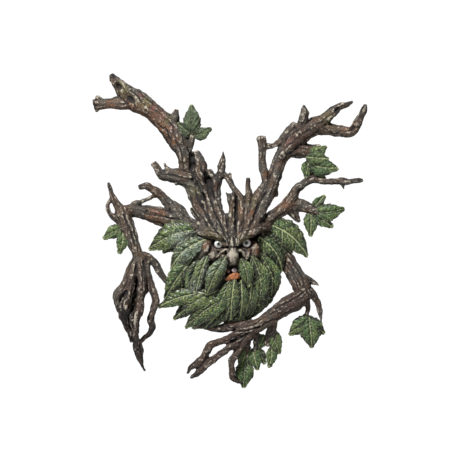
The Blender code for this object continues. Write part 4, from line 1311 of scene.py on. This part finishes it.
LEAF_PAINT = paint_leaf("leaf paint", LEAF_GREEN, OLIVE, SPRING_GREEN, 1.0)
SPRIG_PAINT = paint_leaf("sprig leaf paint", SPRIG_GREEN, SPRIG_OLIVE, SPRIG_LIGHT, 0.66)
SAGE_PAINT = paint_leaf("sage leaf paint", SAGE, SAGE_LIGHT, SAGE_LIGHT, 0.45)
print(LEAF_PAINT.name, "has", len(LEAF_PAINT.node_tree.nodes), "nodes")


# %% Paint of the face
def paint_plain(name, colour, roughness, grain, size, share=0.5):
    """An even coat with a few darker grains, for the small parts of the face."""
    made, wiring, shader = new_material(name)
    inputs = {"Vector": in_rows(wiring), "Size": size, "Base": colour, "Dark grain": grain}
    coats = wiring.group(MOTTLE, {**inputs, "Pale grain": colour, "Dark share": share, "Pale share": 0.0})
    wiring.feed(shader.inputs["Base Color"], coats.outputs["Color"])
    shader.inputs["Roughness"].default_value = roughness
    bump(wiring, shader, coats.outputs["Height"], 0.5)
    return made


def paint_eye():
    """White, a thin dark ring, a grey green iris, a black pupil and painted shade at the edge, by the angle
    from where it looks.
    """
    made, wiring, shader = new_material("painted eye")
    angle = wiring.mask("from_gaze")
    veins = wiring.stretch(wiring.noise(in_rows(wiring), 0.5, 4.0, 0.7), 0.5, 0.64)
    white = wiring.mix(wiring.times(veins, 0.3), EYE_WHITE, EYE_VEINS_AND_EDGE_SHADE)
    iris = wiring.mix(wiring.stretch(angle, PUPIL_ANGLE, IRIS_ANGLE), IRIS_GREY, IRIS_RING)
    seen = wiring.mix(wiring.stretch(angle, IRIS_ANGLE - 1.5, IRIS_ANGLE + 1.5), iris, white)
    # Painted shade: the ball darkens towards its edge, where it turns into the socket.
    seen = wiring.mix(wiring.stretch(angle, 58, 78), seen, EYE_VEINS_AND_EDGE_SHADE)
    seen = wiring.mix(wiring.stretch(angle, PUPIL_ANGLE - 1.5, PUPIL_ANGLE + 1.5), SOOT, seen)
    wiring.feed(shader.inputs["Base Color"], seen)
    shader.inputs["Roughness"].default_value = 0.22
    return made


EYE_PAINT = paint_eye()
# The left tooth is painted a darker brown than the right one.
TOOTH_PAINTS = {
    "tooth_left": paint_plain("brown tooth", (0.28, 0.18, 0.13, 1), 0.45, (0.12, 0.07, 0.05, 1), 0.3),
    "tooth_right": paint_plain("tooth", (0.62, 0.52, 0.5, 1), 0.4, (0.34, 0.22, 0.2, 1), 0.3),
}
LIP_PAINT = paint_plain("lip", (0.42, 0.16, 0.06, 1), 0.45, (0.14, 0.05, 0.03, 1), 0.24, 0.8)
print(len(bpy.data.materials), "materials")

# %% [markdown]
# ## Putting the casting together
#
# The three skins, the three groups of leaves and the parts of the face are all one casting, so each of
# them stands for the same solid. The skins are thinned, because their ridges need fewer faces than the
# clay had. The eyes look a little inwards, which makes them glare.

# %% A piece of the casting
def finish_piece(piece):
    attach(piece, "root")
    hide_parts("tree_face")
    print(piece.name, "is drawn with", len(piece.data.polygons), "faces")
    return piece


# %% The skins in place
MOST_TRIANGLES = {"head": 190000, "left_arm": 110000, "right_arm": 90000}
for mesh in (head_mesh, left_arm_mesh, right_arm_mesh):
    mesh.materials.clear()
    mesh.shade_smooth()
    piece = finish_piece(place(mesh.name, mesh, BARK_PAINT))
    thin = piece.modifiers.new("thin", "DECIMATE")
    thin.ratio = min(1, MOST_TRIANGLES[piece.name] / (2 * len(mesh.polygons)))
    print(piece.name, "keeps", round(100 * thin.ratio), "percent of its triangles")

# %% The leaves in place
finish_piece(leaf_piece("beard_leaves", BEARD_LEAVES, LEAF_PAINT))
sage_names = [name for name in SPRIG_LEAVES if name.startswith("antler_leaf")]
finish_piece(leaf_piece("antler_leaves", {name: SPRIG_LEAVES[name] for name in sage_names}, SAGE_PAINT))
others = {name: form for name, form in SPRIG_LEAVES.items() if name not in sage_names}
finish_piece(leaf_piece("sprig_leaves", others, SPRIG_PAINT))

# %% The eyes in place
def ball(name, middle, radius, material, flat=1.0):
    shell = bmesh.new()
    bmesh.ops.create_uvsphere(shell, u_segments=96, v_segments=64, radius=radius * ROW)
    matrix = Matrix.Translation(spot(*middle)) @ Matrix.Diagonal((1, flat, 1, 1))
    bmesh.ops.transform(shell, matrix=matrix, verts=shell.verts)
    mesh = bpy.data.meshes.new(name)
    shell.to_mesh(mesh)
    shell.free()
    mesh.shade_smooth()
    return finish_piece(place(name, mesh, material))


def add_eye(name, middle, gaze):
    """A ball whose points know their angle from the way that it looks, in degrees."""
    made = ball(name, middle, EYE_RADIUS, EYE_PAINT)
    spread = to_rows(read_points(made.data)) - middle
    aim = np.array(gaze) / np.linalg.norm(gaze)
    share = np.clip(spread @ aim / np.linalg.norm(spread, axis=1), -1, 1)
    write_mask(made.data, "from_gaze", np.degrees(np.arccos(share)))


for name, middle in EYES.items():
    add_eye(name, middle, (0.06 if middle[0] < 0 else -0.04, 0.02, 1))

# %% The lower lip in place
LIP_FRONT = 95


def add_lip():
    """The lower lip is a roll of clay with its front pressed flat and its skin left rough."""
    mesh = fuse("lip", [FACE_RIDGES["lower_lip"]], [], 0.6)
    points, normals = read_points(mesh), read_points(mesh, "normal")
    rows = to_rows(points)
    points += normals * (0.6 * smooth_noise(rows / 3, 31) * ROW)[:, None]
    points[:, 1] = np.maximum(points[:, 1], -LIP_FRONT * ROW)
    write_points(mesh, points)
    mesh.materials.clear()
    mesh.shade_smooth()
    finish_piece(place("lip", mesh, LIP_PAINT))


add_lip()

# %% The teeth in place
for name, (middle, radius) in TEETH.items():
    ball(name, middle, radius, TOOTH_PAINTS[name], 0.9)
print("the mouth has", len(TEETH), "teeth")

# %% [markdown]
# ## Floor, light and camera
#
# The casting hangs over a pale floor, with no wall behind it, so that it can be looked at from all
# round. The main light comes from the upper left in front, a weak broad one from the right, and one
# from behind lights the back. The camera looks straight at the front from far away, so the outline is
# nearly the drawing's own.

# %% Floor
FLOOR_DROP = 1.2
FLOOR_HALF = 2.5


def add_floor():
    shell = bmesh.new()
    below = Matrix.Translation((0, 0, -FLOOR_DROP))
    bmesh.ops.create_grid(shell, x_segments=1, y_segments=1, size=FLOOR_HALF, matrix=below)
    mesh = bpy.data.meshes.new("floor")
    shell.to_mesh(mesh)
    shell.free()
    material, _, shader = new_material("pale floor")
    shader.inputs["Base Color"].default_value = (0.8, 0.8, 0.8, 1)
    shader.inputs["Roughness"].default_value = 0.8
    place("floor", mesh, material)


add_floor()
print("the floor is", 2 * FLOOR_HALF, "m wide")

# %% Lights
ROOM_GLOW = 0.07
# Each light: its place in metres, its power in watts and its size
LIGHTS = {
    "key": ((-0.9, -1.5, 2.0), 112, 0.35),
    "fill": ((1.5, -1.9, 0.1), 7, 1.2),
    "back_fill": ((0.4, 2.0, 1.2), 42, 1.6),
}


def add_light(name, position, power, size):
    lamp = bpy.data.lights.new(name, "AREA")
    lamp.energy = power
    lamp.size = size
    made = bpy.data.objects.new(name, lamp)
    made.location = position
    made.rotation_euler = (-Vector(position)).to_track_quat("-Z", "Y").to_euler()
    bpy.context.scene.collection.objects.link(made)


def add_world():
    world = bpy.data.worlds.new("studio")
    world.use_nodes = True
    bpy.context.scene.world = world
    tree = world.node_tree
    wiring = Wiring(tree)
    back = tree.nodes["Background"]
    seen = wiring.node("ShaderNodeLightPath").outputs["Is Camera Ray"]
    wiring.feed(back.inputs["Color"], (1, 1, 1, 1))
    wiring.feed(back.inputs["Strength"], wiring.plus(ROOM_GLOW, seen))


for name, (position, power, size) in LIGHTS.items():
    add_light(name, position, power, size)
add_world()
print("lights:", ", ".join(LIGHTS))

# %% Camera
CAMERA_DISTANCE = 6.0
PHOTO_SIDE_ROWS = 920
MEAN_DEPTH_ROWS = 60
SENSOR = 36


def add_camera():
    lens = bpy.data.cameras.new("camera")
    lens.sensor_width = SENSOR
    reach = CAMERA_DISTANCE - MEAN_DEPTH_ROWS * ROW
    lens.lens = SENSOR * reach / (PHOTO_SIDE_ROWS * ROW)
    made = bpy.data.objects.new("camera", lens)
    made.location = (0, -CAMERA_DISTANCE, 0)
    made.rotation_euler = (math.radians(90), 0, 0)
    bpy.context.scene.collection.objects.link(made)
    bpy.context.scene.camera = made


add_camera()
bpy.context.scene.view_settings.view_transform = "Standard"
print("the lens is", round(bpy.context.scene.camera.data.lens), "mm")
